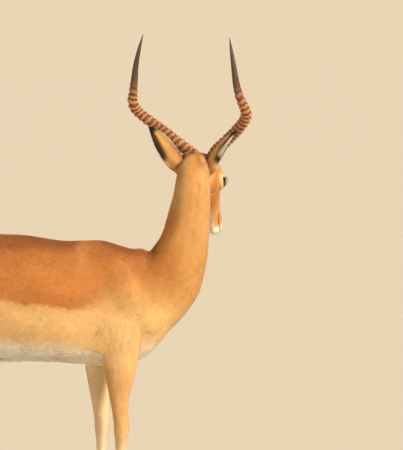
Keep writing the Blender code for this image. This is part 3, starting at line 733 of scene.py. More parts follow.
# The same on the head, in head places.
HEAD_RELIEF = [
    ([(0.108, 0.045, -0.062), (0.118, 0.042, -0.032)], 0.0070, -0.0030),      # before the jaw muscle
    ([(0.150, 0.040, -0.012), (0.118, 0.052, -0.014), (0.070, 0.058, -0.006), (0.030, 0.054, 0.002)],
     0.0065, 0.0026),                                             # cheek bone
    ([(0.074, 0.052, 0.018), (0.046, 0.048, 0.026)], 0.0130, -0.0040),        # temple
    ([(0.156, 0.030, 0.018), (0.240, 0.020, 0.006)], 0.0080, -0.0024),        # beside the nose bone
    ([(0.140, 0.042, 0.036), (0.112, 0.050, 0.044), (0.086, 0.048, 0.042)], 0.0065, 0.0030),
    ([(0.292, 0.014, -0.013), (0.270, 0.022, -0.014), (0.240, 0.024, -0.012)], 0.0055, 0.0014),
    ([(0.258, 0.010, -0.047), (0.278, 0.008, -0.043)], 0.0090, 0.0016),       # chin
    ([(0.2980, 0.0, -0.006), (0.2995, 0.0, -0.018)], 0.0022, -0.0016),        # groove of the lip
    (MOUTH, 0.0020, -0.0034), (NOSTRIL, 0.0028, -0.0080), (NOSTRIL, 0.0065, 0.0016),
]


def mirrored(points):
    """Points with their sideways place measured from the middle."""
    found = points.copy()
    found[:, 1] = np.abs(found[:, 1])
    return found


def lifted(rise, places, forms):
    """The rise of each place with that of the forms, (path, reach, height), added."""
    for path, reach, height in forms:
        rise = rise + height * near(places, path, reach)
    return rise


def relief(points):
    """How far each point of the skin rises along its normal."""
    rise = lifted(np.zeros(len(points)), mirrored(points), BODY_RELIEF)
    for leg, mine in each_leg(points):
        forms = HINDLEG_RELIEF if leg.hind else FORELEG_RELIEF
        rise[mine] = lifted(rise[mine], mirrored(leg.local(points[mine])), forms)
    head = in_head(points)
    mine = (head[:, 0] > 0.0) & (points[:, 2] > 0.85)
    rise[mine] = lifted(rise[mine], mirrored(head[mine]), HEAD_RELIEF)
    return rise


class EyePlace:
    """Axes of one eye: towards the nose, up and outwards."""

    def __init__(self, side):
        self.centre = np.array(on_head(EYE_AT[0], side * EYE_AT[1], EYE_AT[2]))
        outwards = (NOSEWARD * 0.16 + LEFT * (side * 0.96) + CROWNWARD * 0.16).normalized()
        level = (NOSEWARD * 0.97 - CROWNWARD * 0.20).normalized()
        forwards = (level - outwards * level.dot(outwards)).normalized()
        upwards = outwards.cross(forwards)
        if upwards.dot(CROWNWARD) < 0:
            upwards.negate()
        self.axes = np.array((forwards, upwards, outwards))

    def places(self, points):
        """Points as (towards the nose, up, outwards) from the middle of the eye."""
        return (points - self.centre) @ self.axes.T

    def opening(self, local):
        """Below 1 between the lids, 1 at their margin, more further out."""
        half_length, half_height = EYE_OPENING
        inner_corner = np.maximum(local[:, 0], 0.0) / half_length
        height = half_height * (1.0 - 0.22 * inner_corner)
        return np.sqrt((local[:, 0] / half_length) ** 2 + (local[:, 1] / height) ** 2)


EYES = {side: EyePlace(side) for _, side in SIDES}


def form_lids(points):
    """Points of the skin, raised over the eyeball as lids and sunk behind it between them."""
    for eye in EYES.values():
        local = eye.places(points)
        close = (np.hypot(local[:, 0], local[:, 1]) < LID_REACH) & (local[:, 2] > -0.008)
        near_eye = local[close]
        before = near_eye.copy()
        where = eye.opening(near_eye)
        margin = (where > 1 - LID_EDGE) & (where < 1 + LID_EDGE)
        near_eye[margin, :2] /= where[margin, None]
        reach = np.hypot(near_eye[:, 0], near_eye[:, 1]) / (EYE_RADIUS + LID_THICKNESS)
        lid = (EYE_RADIUS + LID_THICKNESS) * (1.0 - 0.5 * reach ** 2)
        lid += 0.0008 * np.exp(-((where - 1.15) / 0.14) ** 2)
        lid -= 0.0009 * np.exp(-((where - 1.55) / 0.16) ** 2)
        height = near_eye[:, 2]
        over = (lid + height + np.sqrt((lid - height) ** 2 + LID_BLEND ** 2)) / 2
        socket = np.sqrt(np.maximum(SOCKET_SHARE ** 2 - reach ** 2, 0.0)) * EYE_RADIUS
        near_eye[:, 2] = np.where(where < 1 - LID_EDGE, socket, over)
        share = step(LID_REACH, LID_REACH * 0.6, np.hypot(before[:, 0], before[:, 1]))
        near_eye = before + (near_eye - before) * share[:, None]
        points[close] = eye.centre + near_eye @ eye.axes
    return points


def refine(obj, chosen):
    """Halves the edges of the faces all of whose corners are chosen."""
    bm = bmesh.new()
    bm.from_mesh(obj.data)
    bm.verts.ensure_lookup_table()
    faces = [f for f in bm.faces if all(chosen[v.index] for v in f.verts)]
    edges = list({e for f in faces for e in f.edges})
    bmesh.ops.subdivide_edges(bm, edges=edges, cuts=1, use_grid_fill=True)
    put_back(bm, obj.data)


def weighted(obj, weights):
    """Name of a new vertex group that has these weights."""
    group = obj.vertex_groups.new(name="weights")
    for value in np.unique(weights[weights > 0]):
        group.add(np.nonzero(weights == value)[0].tolist(), float(value), "REPLACE")
    return group.name


def relax(obj, chosen, passes, strength=SMOOTHING_STRENGTH):
    """Smooths the chosen points."""
    smooth = obj.modifiers.new("relax", "SMOOTH")
    smooth.factor = strength
    smooth.iterations = passes
    smooth.vertex_group = weighted(obj, chosen.astype(float))
    apply_modifiers(obj)
    obj.vertex_groups.clear()


def unite(obj, other):
    """Joins the other object, which is used up, to obj."""
    union = obj.modifiers.new("union", "BOOLEAN")
    union.operation = "UNION"
    union.solver = "EXACT"
    union.object = other
    apply_modifiers(obj)
    bpy.data.objects.remove(other, do_unlink=True)


def fine_places(points):
    """The points near eyes, nostrils and mouth, which carry the finest forms."""
    face = mirrored(in_head(points))
    found = nearest_on(face, MOUTH)[0] < 0.007
    found |= nearest_on(face, NOSTRIL)[0] < 0.011
    for eye in EYES.values():
        local = eye.places(points)
        found |= (np.linalg.norm(local, axis=1) < LID_REACH) & (local[:, 2] > -0.002)
    return found


def cut_feet(obj):
    """Takes the legs' ends away a little below the coronets and closes them."""
    bm = bmesh.new()
    bm.from_mesh(obj.data)
    for leg in LEGS:
        point, normal = leg.coronet()
        point = point - normal * SKIN_IN_HOOF
        foot = [v for v in bm.verts if v.co.z < FOOT_TOP and v.co.y * leg.side > 0
                and abs(v.co.x - point.x) < FOOT_REACH]
        inside = set(foot)
        edges = [e for e in bm.edges if e.verts[0] in inside and e.verts[1] in inside]
        faces = [f for f in bm.faces if all(v in inside for v in f.verts)]
        cut = bmesh.ops.bisect_plane(bm, geom=foot + edges + faces, dist=1e-6, plane_co=point,
                                     plane_no=normal, clear_inner=True)
        rim = [e for e in cut["geom_cut"] if isinstance(e, bmesh.types.BMEdge)]
        bmesh.ops.holes_fill(bm, edges=rim)
    put_back(bm, obj.data)


def join_flesh():
    """All flesh but the ears as one closed mesh, rounded where its forms meet."""
    bm = bmesh.new()
    trunk_forms(bm)
    loft(bm, NECK_STATIONS, Vector((0, -1, 0)), sides=56, power=2.05)
    loft(bm, TAIL_CORE, Vector((0, -1, 0)), sides=20)
    head_forms(bm)
    leg_forms(bm)
    skin = object_from(bm, "skin")
    joined = skin.modifiers.new("join", "REMESH")
    joined.mode = "VOXEL"
    joined.voxel_size = SKIN_VOXEL
    apply_modifiers(skin)
    points = points_of(skin.data)
    thin = points[:, 0] < TAIL_X
    along_face = in_head(points)[:, 0]
    skull = (points[:, 2] > 1.0) & (along_face > -0.05) & (along_face < 0.150)
    relax(skin, ~thin, SKIN_SMOOTHING)
    relax(skin, thin, TAIL_SMOOTHING, GENTLE_STRENGTH)
    relax(skin, skull, SKULL_SMOOTHING)
    seam = near(mirrored(points_of(skin.data)), SHOULDER_SEAM, 0.050) > 0.5
    relax(skin, seam, SEAM_SMOOTHING)
    return skin


def thin_out(skin):
    """Brings the skin near its number of triangles, with more left on the head and low legs."""
    points = points_of(skin.data)
    heads = (in_head(points)[:, 0] > -0.03) & (points[:, 2] > 0.90)
    share = np.where(heads, HEAD_THINNING, np.where(points[:, 2] < 0.45, FOOT_THINNING, 1.0))
    reduced = skin.modifiers.new("reduce", "DECIMATE")
    reduced.ratio = min(1.0, SKIN_TRIANGLES / len(skin.data.polygons))
    reduced.vertex_group = weighted(skin, share)
    apply_modifiers(skin)
    skin.vertex_groups.clear()


def make_skin():
    """The whole skin as one closed mesh, finest on the head."""
    skin = join_flesh()
    thin_out(skin)
    cut_feet(skin)
    for ear in EARS:
        bm = bmesh.new()
        ear.form(bm)
        unite(skin, object_from(bm, "ear"))
    relax(skin, ear_seam(points_of(skin.data)), EAR_SMOOTHING, GENTLE_STRENGTH)
    for _ in range(2):
        refine(skin, fine_places(points_of(skin.data)))
    relax(skin, fine_places(points_of(skin.data)), FACE_SMOOTHING, GENTLE_STRENGTH)
    points = points_of(skin.data)
    lift = relief(points) + ROUNDING_LOSS - coat_depth(points)
    points = form_lids(points + normals_of(skin.data) * lift[:, None])
    skin.data.vertices.foreach_set("co", points.astype(np.float32).ravel())
    skin.data.update()
    return skin


# ---------------------------------------------------------------- horns and hooves
HORN_COURSE = [  # ahead, outwards, up, radius
    (0.052, 0.030, -0.014, 0.0195),
    (0.032, 0.039, 0.006, 0.0200),
    (0.014, 0.060, 0.025, 0.0198),
    (0.001, 0.090, 0.050, 0.0190),
    (-0.014, 0.128, 0.081, 0.0182),
    (-0.040, 0.168, 0.113, 0.0176),
    (-0.070, 0.199, 0.145, 0.0170),
    (-0.098, 0.203, 0.174, 0.0158),
    (-0.117, 0.193, 0.210, 0.0140),
    (-0.128, 0.185, 0.252, 0.0115),
    (-0.134, 0.178, 0.300, 0.0090),
    (-0.134, 0.168, 0.352, 0.0058),
    (-0.131, 0.157, 0.399, 0.0010),
]
CLAW_LEVELS = [  # height, x of the heel, x of the tip, width
    (0.000, -0.0200, 0.0430, 0.0208),
    (0.002, -0.0212, 0.0434, 0.0218),
    (0.024, -0.0200, 0.0305, 0.0208),
    (0.056, -0.0165, 0.0140, 0.0175),
]
HORN_SIDES, CLAW_SIDES = 44, 40
HORN_SEED = 40


def along_course(course, distances):
    """Places, directions and radii at distances along a course of (point, radius)."""
    fine = curve_through(course, 24)
    centres = np.array([f[:3] for f in fine])
    gone = np.concatenate([[0.0], np.cumsum(np.linalg.norm(np.diff(centres, axis=0), axis=1))])
    shares = np.asarray(distances) / distances[-1] * gone[-1]
    places = np.stack([np.interp(shares, gone, centres[:, k]) for k in range(3)], axis=1)
    radii = np.interp(shares, gone, [f[3] for f in fine])
    return places, unit(np.gradient(places, axis=0)), radii, gone[-1]


def tube_faces(rings, sides):
    """Faces of a closed tube whose points lie ring after ring."""
    faces = []
    for r in range(rings - 1):
        for i in range(sides):
            j = (i + 1) % sides
            a, b = r * sides, (r + 1) * sides
            faces.append((a + i, a + j, b + j, b + i))
    faces.append(tuple(range(sides))[::-1])
    faces.append(tuple(range((rings - 1) * sides, rings * sides)))
    return faces


def mesh_object(name, points, faces):
    mesh = bpy.data.meshes.new(name)
    mesh.from_pydata([tuple(p) for p in points], [], faces)
    mesh.shade_smooth()
    return linked(name, mesh)


def horn(name, side):
    """Lyre-shaped horn, ringed up to a little past its widest point, then smooth."""
    rng = np.random.default_rng(HORN_SEED + side)
    course = [(*beside_head(c[0], side * c[1], c[2]), c[3]) for c in HORN_COURSE]
    length = along_course(course, [0.0, 1.0])[3]
    ringed = length * HORN_RINGED_SHARE
    distances = np.concatenate([np.arange(0.0, ringed * 1.10, 0.0012),
                                np.linspace(ringed * 1.105, length, 60)])
    centres, along, radii, length = along_course(course, distances)
    front = unit(np.array(AHEAD) - along * (along @ np.array(AHEAD))[:, None])
    level = np.cross(along, front)
    angle = np.linspace(0, 2 * math.pi, HORN_SIDES, endpoint=False)[None, :]
    pitch = ringed / HORN_RINGS
    knots = np.arange(0, length + pitch, pitch)
    warp = np.interp(distances, knots, rng.uniform(-HORN_RING_WANDER, HORN_RING_WANDER, len(knots)))
    distances, radii = distances[:, None], radii[:, None]
    turn = distances / pitch + warp[:, None] + 0.16 * np.cos(angle + side * 0.8)
    turn = turn + 0.05 * np.sin(5 * angle + 0.9 * distances / pitch)
    ridge = (0.5 - 0.5 * np.cos(2 * math.pi * turn)) ** 2.0
    fade = step(ringed * 1.06, ringed * 0.86, distances)
    facing = 0.84 + 0.16 * np.cos(angle)
    uneven = 1 + 0.012 * np.sin(9 * angle + 3 * turn) + 0.012 * np.sin(17 * angle - turn)
    swell = HORN_RING_HEIGHT * (1.75 * ridge * facing - 0.65) * fade
    radius = np.minimum(radii * (1 + (uneven - 1) * fade) + swell, radii + HORN_RING_HEIGHT)
    points = (centres[:, None] + front[:, None] * (radius * np.cos(angle))[..., None]
              + level[:, None] * (radius * np.sin(angle))[..., None])
    obj = mesh_object(name, points.reshape(-1, 3), tube_faces(len(distances), HORN_SIDES))
    for key, values in (("share", distances / length), ("ridge", ridge * fade * facing),
                        ("ringed", step(ringed * 1.20, ringed * 0.80, distances))):
        store(obj.data, key, np.broadcast_to(values, radius.shape).ravel())
    places = np.broadcast_arrays(np.cos(angle), np.sin(angle), distances * 6.0)
    store(obj.data, "round", np.stack([part.ravel() for part in places], axis=1))
    return obj


def claw(name, x, y, outward):
    """One toe of a cloven hoof: flat below, its ringed wall sloping up and back to the coronet."""
    angle = np.linspace(0, 2 * math.pi, CLAW_SIDES, endpoint=False)
    ahead = np.cos(angle)
    pointed = 1.0 - 0.42 * np.maximum(ahead, 0.0) ** 2
    shares = np.concatenate([[0.0, 0.03], np.linspace(0.08, 1.0, 30)])
    points = []
    for share in shares:
        height = np.full(CLAW_SIDES, share * CORONET)
        for _ in range(4):
            heel, tip, width = (read_off(CLAW_LEVELS, height, k) for k in (1, 2, 3))
            forward = (heel + tip) / 2 + ahead * (tip - heel) / 2
            height = share * (CORONET + math.tan(CORONET_SLOPE) * forward)
        growth = 1 - 0.008 * (0.5 + 0.5 * math.sin(share * 34)) * (share > 0.03)
        across = np.sin(angle) * pointed * width / 2 * growth
        middle = HOOF_TOE_GAP / 2 + width * 0.5
        points.append(np.stack([x + (heel + tip) / 2 + ahead * (tip - heel) / 2 * growth,
                                y + outward * (middle + across), height], axis=1))
    obj = mesh_object(name, np.concatenate(points), tube_faces(len(shares), CLAW_SIDES))
    store(obj.data, "share", np.repeat(shares, CLAW_SIDES))
    return obj


def eyeball(name, side):
    bm = bmesh.new()
    place = EYES[side]
    add_ball(bm, tuple(place.centre), (EYE_RADIUS,) * 3, Matrix(), segments=96)
    obj = object_from(bm, name)
    store(obj.data, "iris", place.places(points_of(obj.data)) / EYE_RADIUS)
    return obj


# ---------------------------------------------------------------- markings
SADDLE_EDGE = [  # x, height of the saddle's lower edge, its softness
    (-0.72, 0.600, 0.050), (-0.60, 0.660, 0.022), (-0.50, 0.712, 0.012), (-0.389, 0.726, 0.010),
    (-0.188, 0.703, 0.010), (-0.086, 0.696, 0.014), (-0.020, 0.690, 0.060),
]
SADDLE_FRONT = (0.04, 0.89)                   # x and height of a place on its front edge
SADDLE_FRONT_FACING = (0.885, 0.466)          # that edge faces this far ahead and down
BELLY_EDGE = [  # x, height of the white belly's upper edge
    (-0.62, 0.560), (-0.50, 0.592), (-0.389, 0.584), (-0.191, 0.549), (-0.086, 0.522),
    (0.05, 0.505), (0.12, 0.560),
]
BUTTOCK_STRIPE = [  # height, distance from the middle of the black stripe
    (0.560, 0.078), (0.620, 0.086), (0.700, 0.084), (0.780, 0.068), (0.840, 0.046), (0.880, 0.030),
]
THROAT_LINE = [(0.0, -0.060), (0.08, -0.092), (0.30, -0.070)]      # in head places: along, height
LEATHER_EDGE = [  # height in head places, half width of the nose leather
    (-0.0200, 0.0009), (-0.0150, 0.0020), (-0.0110, 0.0070), (-0.0040, 0.0095), (0.0030, 0.0060),
]
TAIL_FALL = np.array((-0.10, 0.0, -1.0))      # the way that its long hair hangs
METATARSAL = [(-0.052, 0.0, 0.165), (-0.050, 0.0, 0.112)]      # black tufts, from the leg's x
EAR_DARK_LINES = (-0.42, 0.02, 0.44)                           # places across the open side


def marked(colour, places, marks):
    """Colours with soft marks of (path, reach, colour, strength) laid over them."""
    for path, reach, shade, strength in marks:
        colour = mix(colour, shade, strength * near(places, path, reach))
    return colour


# Painted shade in the fold where the neck meets the withers and in the neck's creases before it.
FOLD_SHADE_MARKS = [(WITHERS_FOLD, 0.034, mix(RUFOUS, UMBER, 0.20), 0.92)]
FOLD_SHADE_MARKS += [(path, 0.0055, RUFOUS, 0.50) for path in NECK_FOLDS]
CROWN_MARKS = [  # in head places
    ([(0.205, 0.012, 0.020), (0.236, 0.019, 0.009)], 0.018, mix(RUFOUS, UMBER, 0.35), 0.62),
    ([(0.070, 0.0, 0.050), (0.010, 0.0, 0.034), (-0.008, 0.0, 0.012)], 0.030,
     mix(SADDLE, RUFOUS, 0.60), 0.60),
    ([(0.028, 0.050, 0.030), (0.008, 0.050, -0.010)], 0.015, RUFOUS, 0.80),       # behind the horn
    ([(0.034, 0.056, -0.036), (0.050, 0.050, -0.048)], 0.013, CREAM, 0.30),       # below the ear
]
CHEEK_SHADE_AND_GLAND_MARKS = [
    # painted shade on the cheek, where the ear and horn shade it
    ([(0.095, 0.056, -0.032), (0.165, 0.038, -0.036)], 0.026, mix(SADDLE, RUFOUS, 0.45), 0.85),
    ([(0.138, 0.052, 0.008), (0.170, 0.038, 0.004)], 0.007, UMBER, 0.35),         # tear gland
]
HEEL_MARKS = [([(-0.085, 0.0, 0.400), (-0.084, 0.0, 0.370)], 0.012, UMBER, 0.5)]
KNEE_MARKS = [([(0.030, 0.0, 0.320), (0.034, 0.0, 0.270)], 0.016, TAN, 0.5)]


def belongs_to_head(points):
    """1 on the head, falling softly to 0 where the neck begins."""
    head = in_head(points)
    throat = read_off(THROAT_LINE, head[:, 0])
    return (step(-0.040, 0.005, head[:, 0]) * step(0.09, 0.075, np.abs(head[:, 1]))
            * step(throat - 0.012, throat + 0.006, head[:, 2]) * (points[:, 2] > 0.92))


def body_colour(points, normals):
    """Tan and golden sides under a red-brown saddle, and a white belly, with painted shade along the
    back's top, low on the saddle and in the folds before the withers, and a pale patch behind the
    withers that is partly painted highlight.
    """
    x, z = points[:, 0], points[:, 2]
    wander = 0.0035 * soft_noise(points, 0.05, 11) + 0.0025 * soft_noise(points, 0.012, 12)
    height = z + wander
    forequarter = step(-0.10, 0.03, x) * step(0.66, 0.76, z)
    colour = mix(mix(GOLD, TAN, 0.18 * step(0.57, 0.70, z)), TAN, 0.9 * forequarter)
    neck_base = step(0.725, 0.835, z) * step(0.240, 0.170, x)
    colour = mix(colour, mix(SADDLE, RUFOUS, 0.32), 0.92 * neck_base)

    along, down = SADDLE_FRONT_FACING
    forward = (x - SADDLE_FRONT[0]) * along - (z - SADDLE_FRONT[1]) * down + 2 * wander
    above_edge = (height - read_off(SADDLE_EDGE, x)) / read_off(SADDLE_EDGE, x, 2)
    saddle = step(-1.0, 1.0, above_edge) * step(0.045, -0.045, forward)
    # Painted shade: the saddle darker and redder along the back's top, most along the spine, and low on
    # its sides, which leaves a lighter middle as painted light.
    spine_shade = step(0.872, 0.905, z) * step(-0.10, -0.15, x)
    back_shade_share = 0.40 * step(0.80, 0.89, z) + 0.22 * step(0.77, 0.73, z) + 0.58 * spine_shade
    colour = mix(colour, mix(SADDLE, RUFOUS, back_shade_share), saddle)
    # A pale patch behind the withers: partly a coat whorl, partly painted highlight.
    pale = np.exp(-((x + 0.112) / 0.021) ** 2) * step(0.79, 0.84, z) * step(0.93, 0.89, z)
    colour = mix(colour, GOLD, 0.30 * pale)
    # Painted shade of a fold by the spine behind the withers.
    fold = np.exp(-((x + 0.165) / 0.022) ** 2 - ((z - 0.900) / 0.020) ** 2)
    colour = mix(colour, RUFOUS, 0.35 * fold)
    # Painted shade in the folds before the withers.
    colour = marked(colour, mirrored(points), FOLD_SHADE_MARKS)

    under = step(0.010, -0.010, height - read_off(BELLY_EDGE, x))
    below = step(-0.30, -0.70, normals[:, 2])
    under = under * np.maximum(below, step(-0.070, -0.130, x) * step(-0.480, -0.430, x))
    between = below * step(0.64, 0.58, z) * step(0.16, 0.08, x)
    return mix(colour, WHITE, np.maximum(under, 0.85 * between))


def neck_colour(points, normals, colour):
    """A tan neck with painted shade low on its back-facing side and painted light above it, redder
    behind the poll, and a white throat patch.
    """
    x, z, ahead = points[:, 0], points[:, 2], normals[:, 0]
    up_neck = step(0.84, 0.95, z)
    nape = step(0.25, -0.55, ahead) * up_neck
    throat_side = 0.10 + 0.32 * step(0.0, 0.7, ahead)
    past_chest = step(0.86, 0.98, z + 0.5 * x - 0.06)
    colour = mix(colour, mix(TAN, GOLD, throat_side), up_neck * past_chest)
    # Painted shade low on the nape's back-facing side, then painted light higher on that side.
    nape_shade = nape * step(0.84, 0.90, z) * step(1.07, 0.97, z)
    colour = mix(colour, mix(TAN, SADDLE, 0.75), 0.60 * nape_shade)
    colour = mix(colour, GOLD, 0.55 * nape * step(1.00, 1.08, z) * step(0.26, 0.21, x))
    poll = step(1.140, 1.180, z) * step(0.240, 0.285, x) * step(0.30, -0.20, normals[:, 1])
    colour = mix(colour, mix(SADDLE, RUFOUS, 0.50), 0.85 * poll)
    return marked(colour, points, [([(0.280, 0.068, 1.105), (0.294, 0.050, 1.065)], 0.026, WHITE, 0.9)])


def leg_colour(points, normals, colour):
    """Pale shins and insides, tan knees, and the black tufts above the hind fetlocks."""
    z, away = points[:, 2], normals[:, 1] * np.sign(points[:, 1])
    on_leg = leg_of(points) >= 0
    shin = mix(mix(GOLD, TAN, 0.40), mix(CREAM, GOLD, 0.60), step(0.36, 0.14, z))
    colour = mix(colour, shin, step(0.60, 0.44, z) * on_leg)
    # Pale insides, but cream and gold rather than white: partly painted shade.
    low_inside = step(0.05, -0.45, away) * on_leg * step(0.66, 0.58, z)
    colour = mix(colour, mix(CREAM, GOLD, 0.35), 0.75 * low_inside)
    for leg, mine in each_leg(points):
        local = leg.local(points[mine])
        pastern = step(0.075, 0.045, local[:, 2])
        shade = mix(colour[mine], mix(RUFOUS, UMBER, 0.5), 0.40 * pastern)
        if leg.hind:
            behind = step(-0.034, -0.046, local[:, 0])
            shade = mix(shade, BLACK, step(0.30, 0.75, near(local, METATARSAL, 0.020)) * behind)
            shade = marked(shade, local, HEEL_MARKS)
        else:
            shade = marked(shade, local, KNEE_MARKS)
        colour[mine] = shade
    return colour


def rear_colour(points, normals, colour):
    """White between black stripes on the buttocks, and a white tail with a black line."""
    x, z = points[:, 0], points[:, 2]
    beside = np.abs(points[:, 1])
    edge = read_off(BUTTOCK_STRIPE, z) + 0.0015 * soft_noise(points, 0.02, 51)
    rump = step(-0.60, -0.66, x) * step(0.885, 0.865, z) * step(0.50, 0.56, z)
    facing = step(0.30, -0.20, normals[:, 0])
    inside = step(0.004, -0.004, beside - edge) * facing * rump
    colour = mix(colour, WHITE, inside)
    stripe = step(0.0095, 0.0055, np.abs(beside - edge)) * facing * rump
    colour = mix(colour, BLACK, 0.95 * stripe * step(0.545, 0.600, z))
    seat = step(0.075, 0.055, beside) * step(-0.44, -0.50, x) * step(0.42, 0.50, z)
    colour = mix(colour, WHITE, 0.9 * seat * step(0.66, 0.60, z) * (1 - inside))
    line = step(0.0070, 0.0040, beside) * facing * step(0.560, 0.600, z)
    tail = mix(mix(WHITE, TAN, 0.9 * step(0.80, 0.86, z)), BLACK, 0.95 * line)
    return np.where((x < TAIL_X)[:, None], tail, colour)


def eye_colour(points, shade):
    """Pale rings round the eyes, stronger above them, and black lids."""
    for eye in EYES.values():
        local = eye.places(points)
        where = eye.opening(local)
        outside = local[:, 2] > EYE_FRONT
        ring = step(1.10, 1.30, where) * step(2.1, 1.40, where) * outside
        brow = 0.50 + 0.40 * step(-0.2, 0.5, local[:, 1] / EYE_OPENING[1])
        shade = mix(shade, mix(CREAM, GOLD, 0.30), 0.90 * ring * brow)
        shade = mix(shade, BLACK, step(1.26, 1.12, where) * outside)
    return shade


def muzzle_colour(face, along, shade):
    """A pale muzzle with white lips and black nose leather, nostrils and mouth."""
    up = face[:, 2]
    shade = mix(shade, mix(GOLD, CREAM, 0.40), 0.72 * step(0.248, 0.278, along))
    shade = mix(shade, WHITE, 0.92 * step(-0.010, -0.016, up) * step(0.252, 0.280, along))
    on_leather = step(0.0010, -0.0010, face[:, 1] - read_off(LEATHER_EDGE, up))
    on_leather = on_leather * step(0.2860, 0.2900, face[:, 0])
    on_leather *= step(-0.0205, -0.0195, up) * step(0.0045, 0.0015, up)
    shade = mix(shade, BLACK, 0.96 * on_leather)
    seen_from_ahead = face * (0.0, 1.0, 1.0)
    slit = near(seen_from_ahead, [(0.0, left, high) for _, left, high in NOSTRIL], 0.0042)
    shade = mix(shade, BLACK, step(0.35, 0.75, slit) * step(0.272, 0.280, face[:, 0]))
    return mix(shade, UMBER, 0.92 * step(0.30, 0.80, near(face, MOUTH, 0.0036)))


def head_colour(points, normals, colour):
    """A tan face, darker along its top and on the crown, with painted shade on the cheeks, and white
    below.
    """
    face = mirrored(in_head(points))
    along = face[:, 0] + 0.004 * soft_noise(points, 0.02, 21)
    upward = normals @ np.array(CROWNWARD)
    top = step(0.20, 0.75, upward) * step(0.285, 0.240, along) * step(0.034, 0.016, face[:, 1])
    shade = mix(mix(TAN, SADDLE, 0.22), mix(SADDLE, RUFOUS, 0.55), 0.80 * top)
    shade = marked(shade, face, CROWN_MARKS)
    under = step(-0.45, -0.90, upward) * step(0.030, 0.014, face[:, 1])
    shade = mix(shade, WHITE, 0.55 * under)
    # Painted shade on the cheeks, and the dark tear gland.
    shade = marked(shade, face, CHEEK_SHADE_AND_GLAND_MARKS)
    shade = muzzle_colour(face, along, eye_colour(points, shade))
    return mix(colour, shade, belongs_to_head(points))


def ear_back(side, share, outer):
    """Tan with a dark end, a white lower edge and a cream rim, by length and place across."""
    dark = step(0.34, 0.74, outer + 0.7 * (share - 0.52)) * step(0.24, 0.37, share)
    back = mix(mix(TAN, GOLD, 0.25), mix(BLACK, UMBER, 0.30), 0.96 * dark)
    back = mix(back, BLACK, step(0.80, 0.90, share))
    back = mix(back, WHITE, 0.9 * step(0.80, 0.96, outer) * step(0.31, 0.24, share))
    fringe = step(0.62, 0.82, outer) * step(0.40, 0.50, share) * step(0.94, 0.86, share)
    back = mix(back, CREAM, 0.85 * fringe * (side < 0))
    rim = step(-0.52, -0.80, outer) * step(0.92, 0.80, share) * step(0.18, 0.34, share)
    return mix(back, CREAM, 0.9 * rim)


def ear_front(points, share, across, outer):
    """White with dark lines of thin hair, black edges and bare flesh deep inside."""
    middle = np.abs(across)
    lines = sum(np.exp(-((across - c * (1 - 0.4 * share)) / 0.085) ** 2) for c in EAR_DARK_LINES)
    speckle = step(-0.5, 1.6, soft_noise(points, 0.006, 61))
    front = mix(WHITE, UMBER, 0.45 * np.clip(lines, 0, 1) * speckle * step(0.10, 0.30, share))
    front = mix(front, BLACK, step(0.88, 0.97, share))
    front = mix(front, FLESH, 0.55 * step(0.30, 0.10, share) * step(0.5, 0.2, middle))
    front = mix(front, WHITE, step(0.62, 0.92, middle) * step(0.90, 0.75, share))
    front = mix(front, TAN, 0.9 * step(-0.20, -0.60, outer) * step(0.38, 0.26, share))
    return mix(front, BLACK, 0.92 * step(0.78, 0.92, outer) * step(0.42, 0.52, share))


def ear_colour(points, normals, colour):
    for ear, mine in each_ear(points):
        share, across, facing = ear.places(points[mine], normals[mine])
        outer = across * ear.side
        back = ear_back(ear.side, share, outer)
        front = ear_front(points[mine], share, across, outer)
        tone = mix(back, front, step(-0.25, 0.25, facing))
        colour[mine] = mix(colour[mine], tone, step(0.10, 0.22, share))
    return colour


def coat_colour(points, normals):
    """The animal's markings, the same for the skin and for the hair on it."""
    colour = body_colour(points, normals)
    for lay_over in (neck_colour, leg_colour, rear_colour, head_colour, ear_colour):
        colour = lay_over(points, normals, colour)
    mottle = 1 + 0.045 * soft_noise(points, 0.045, 31) + 0.030 * soft_noise(points, 0.011, 32)
    return np.clip(colour * mottle[:, None], 0.004, 0.92)


# ---------------------------------------------------------------- lie of the coat
MIRRORED_CURRENTS = [  # path in the direction that the hair points, reach
    ([(0.100, 0.010, 0.890), (-0.300, 0.030, 0.935), (-0.600, 0.030, 0.925), (-0.730, 0.020, 0.850)],
     0.080),
    ([(0.000, 0.090, 0.800), (-0.250, 0.120, 0.740), (-0.480, 0.110, 0.700)], 0.110),
    ([(0.060, 0.030, 0.520), (-0.200, 0.050, 0.515), (-0.450, 0.050, 0.550)], 0.080),
    ([(-0.480, 0.100, 0.860), (-0.570, 0.110, 0.760), (-0.620, 0.110, 0.640), (-0.640, 0.080, 0.500)],
     0.090),
    ([(-0.480, 0.110, 0.700), (-0.460, 0.100, 0.620), (-0.540, 0.090, 0.520)], 0.060),
    ([(-0.660, 0.040, 0.910), (-0.740, 0.040, 0.820), (-0.740, 0.055, 0.680), (-0.690, 0.070, 0.540)],
     0.060),
    ([(0.060, 0.060, 0.870), (0.020, 0.090, 0.760), (-0.010, 0.090, 0.640), (0.010, 0.070, 0.520)],
     0.070),
    ([(0.205, 0.050, 1.080), (0.170, 0.060, 0.960), (0.110, 0.070, 0.850), (0.060, 0.080, 0.760)],
     0.070),
    ([(0.300, 0.030, 1.080), (0.305, 0.035, 0.960), (0.285, 0.045, 0.860), (0.235, 0.050, 0.740),
      (0.170, 0.050, 0.640), (0.090, 0.045, 0.560)], 0.060),
]
HEAD_CURRENTS = [  # the same on the head, in head places
    ([(0.300, 0.000, 0.000), (0.200, 0.000, 0.034), (0.100, 0.000, 0.052), (-0.010, 0.000, 0.040)],
     0.030),
    ([(0.295, 0.015, -0.018), (0.200, 0.034, -0.012), (0.110, 0.055, -0.006), (0.010, 0.056, -0.010)],
     0.026),
    ([(0.285, 0.010, -0.042), (0.200, 0.014, -0.052), (0.100, 0.020, -0.080), (0.000, 0.020, -0.060)],
     0.026),
]
HEAD_PULL = 6.0          # these currents win over the neck's where both reach
LEG_PULL = 5.0
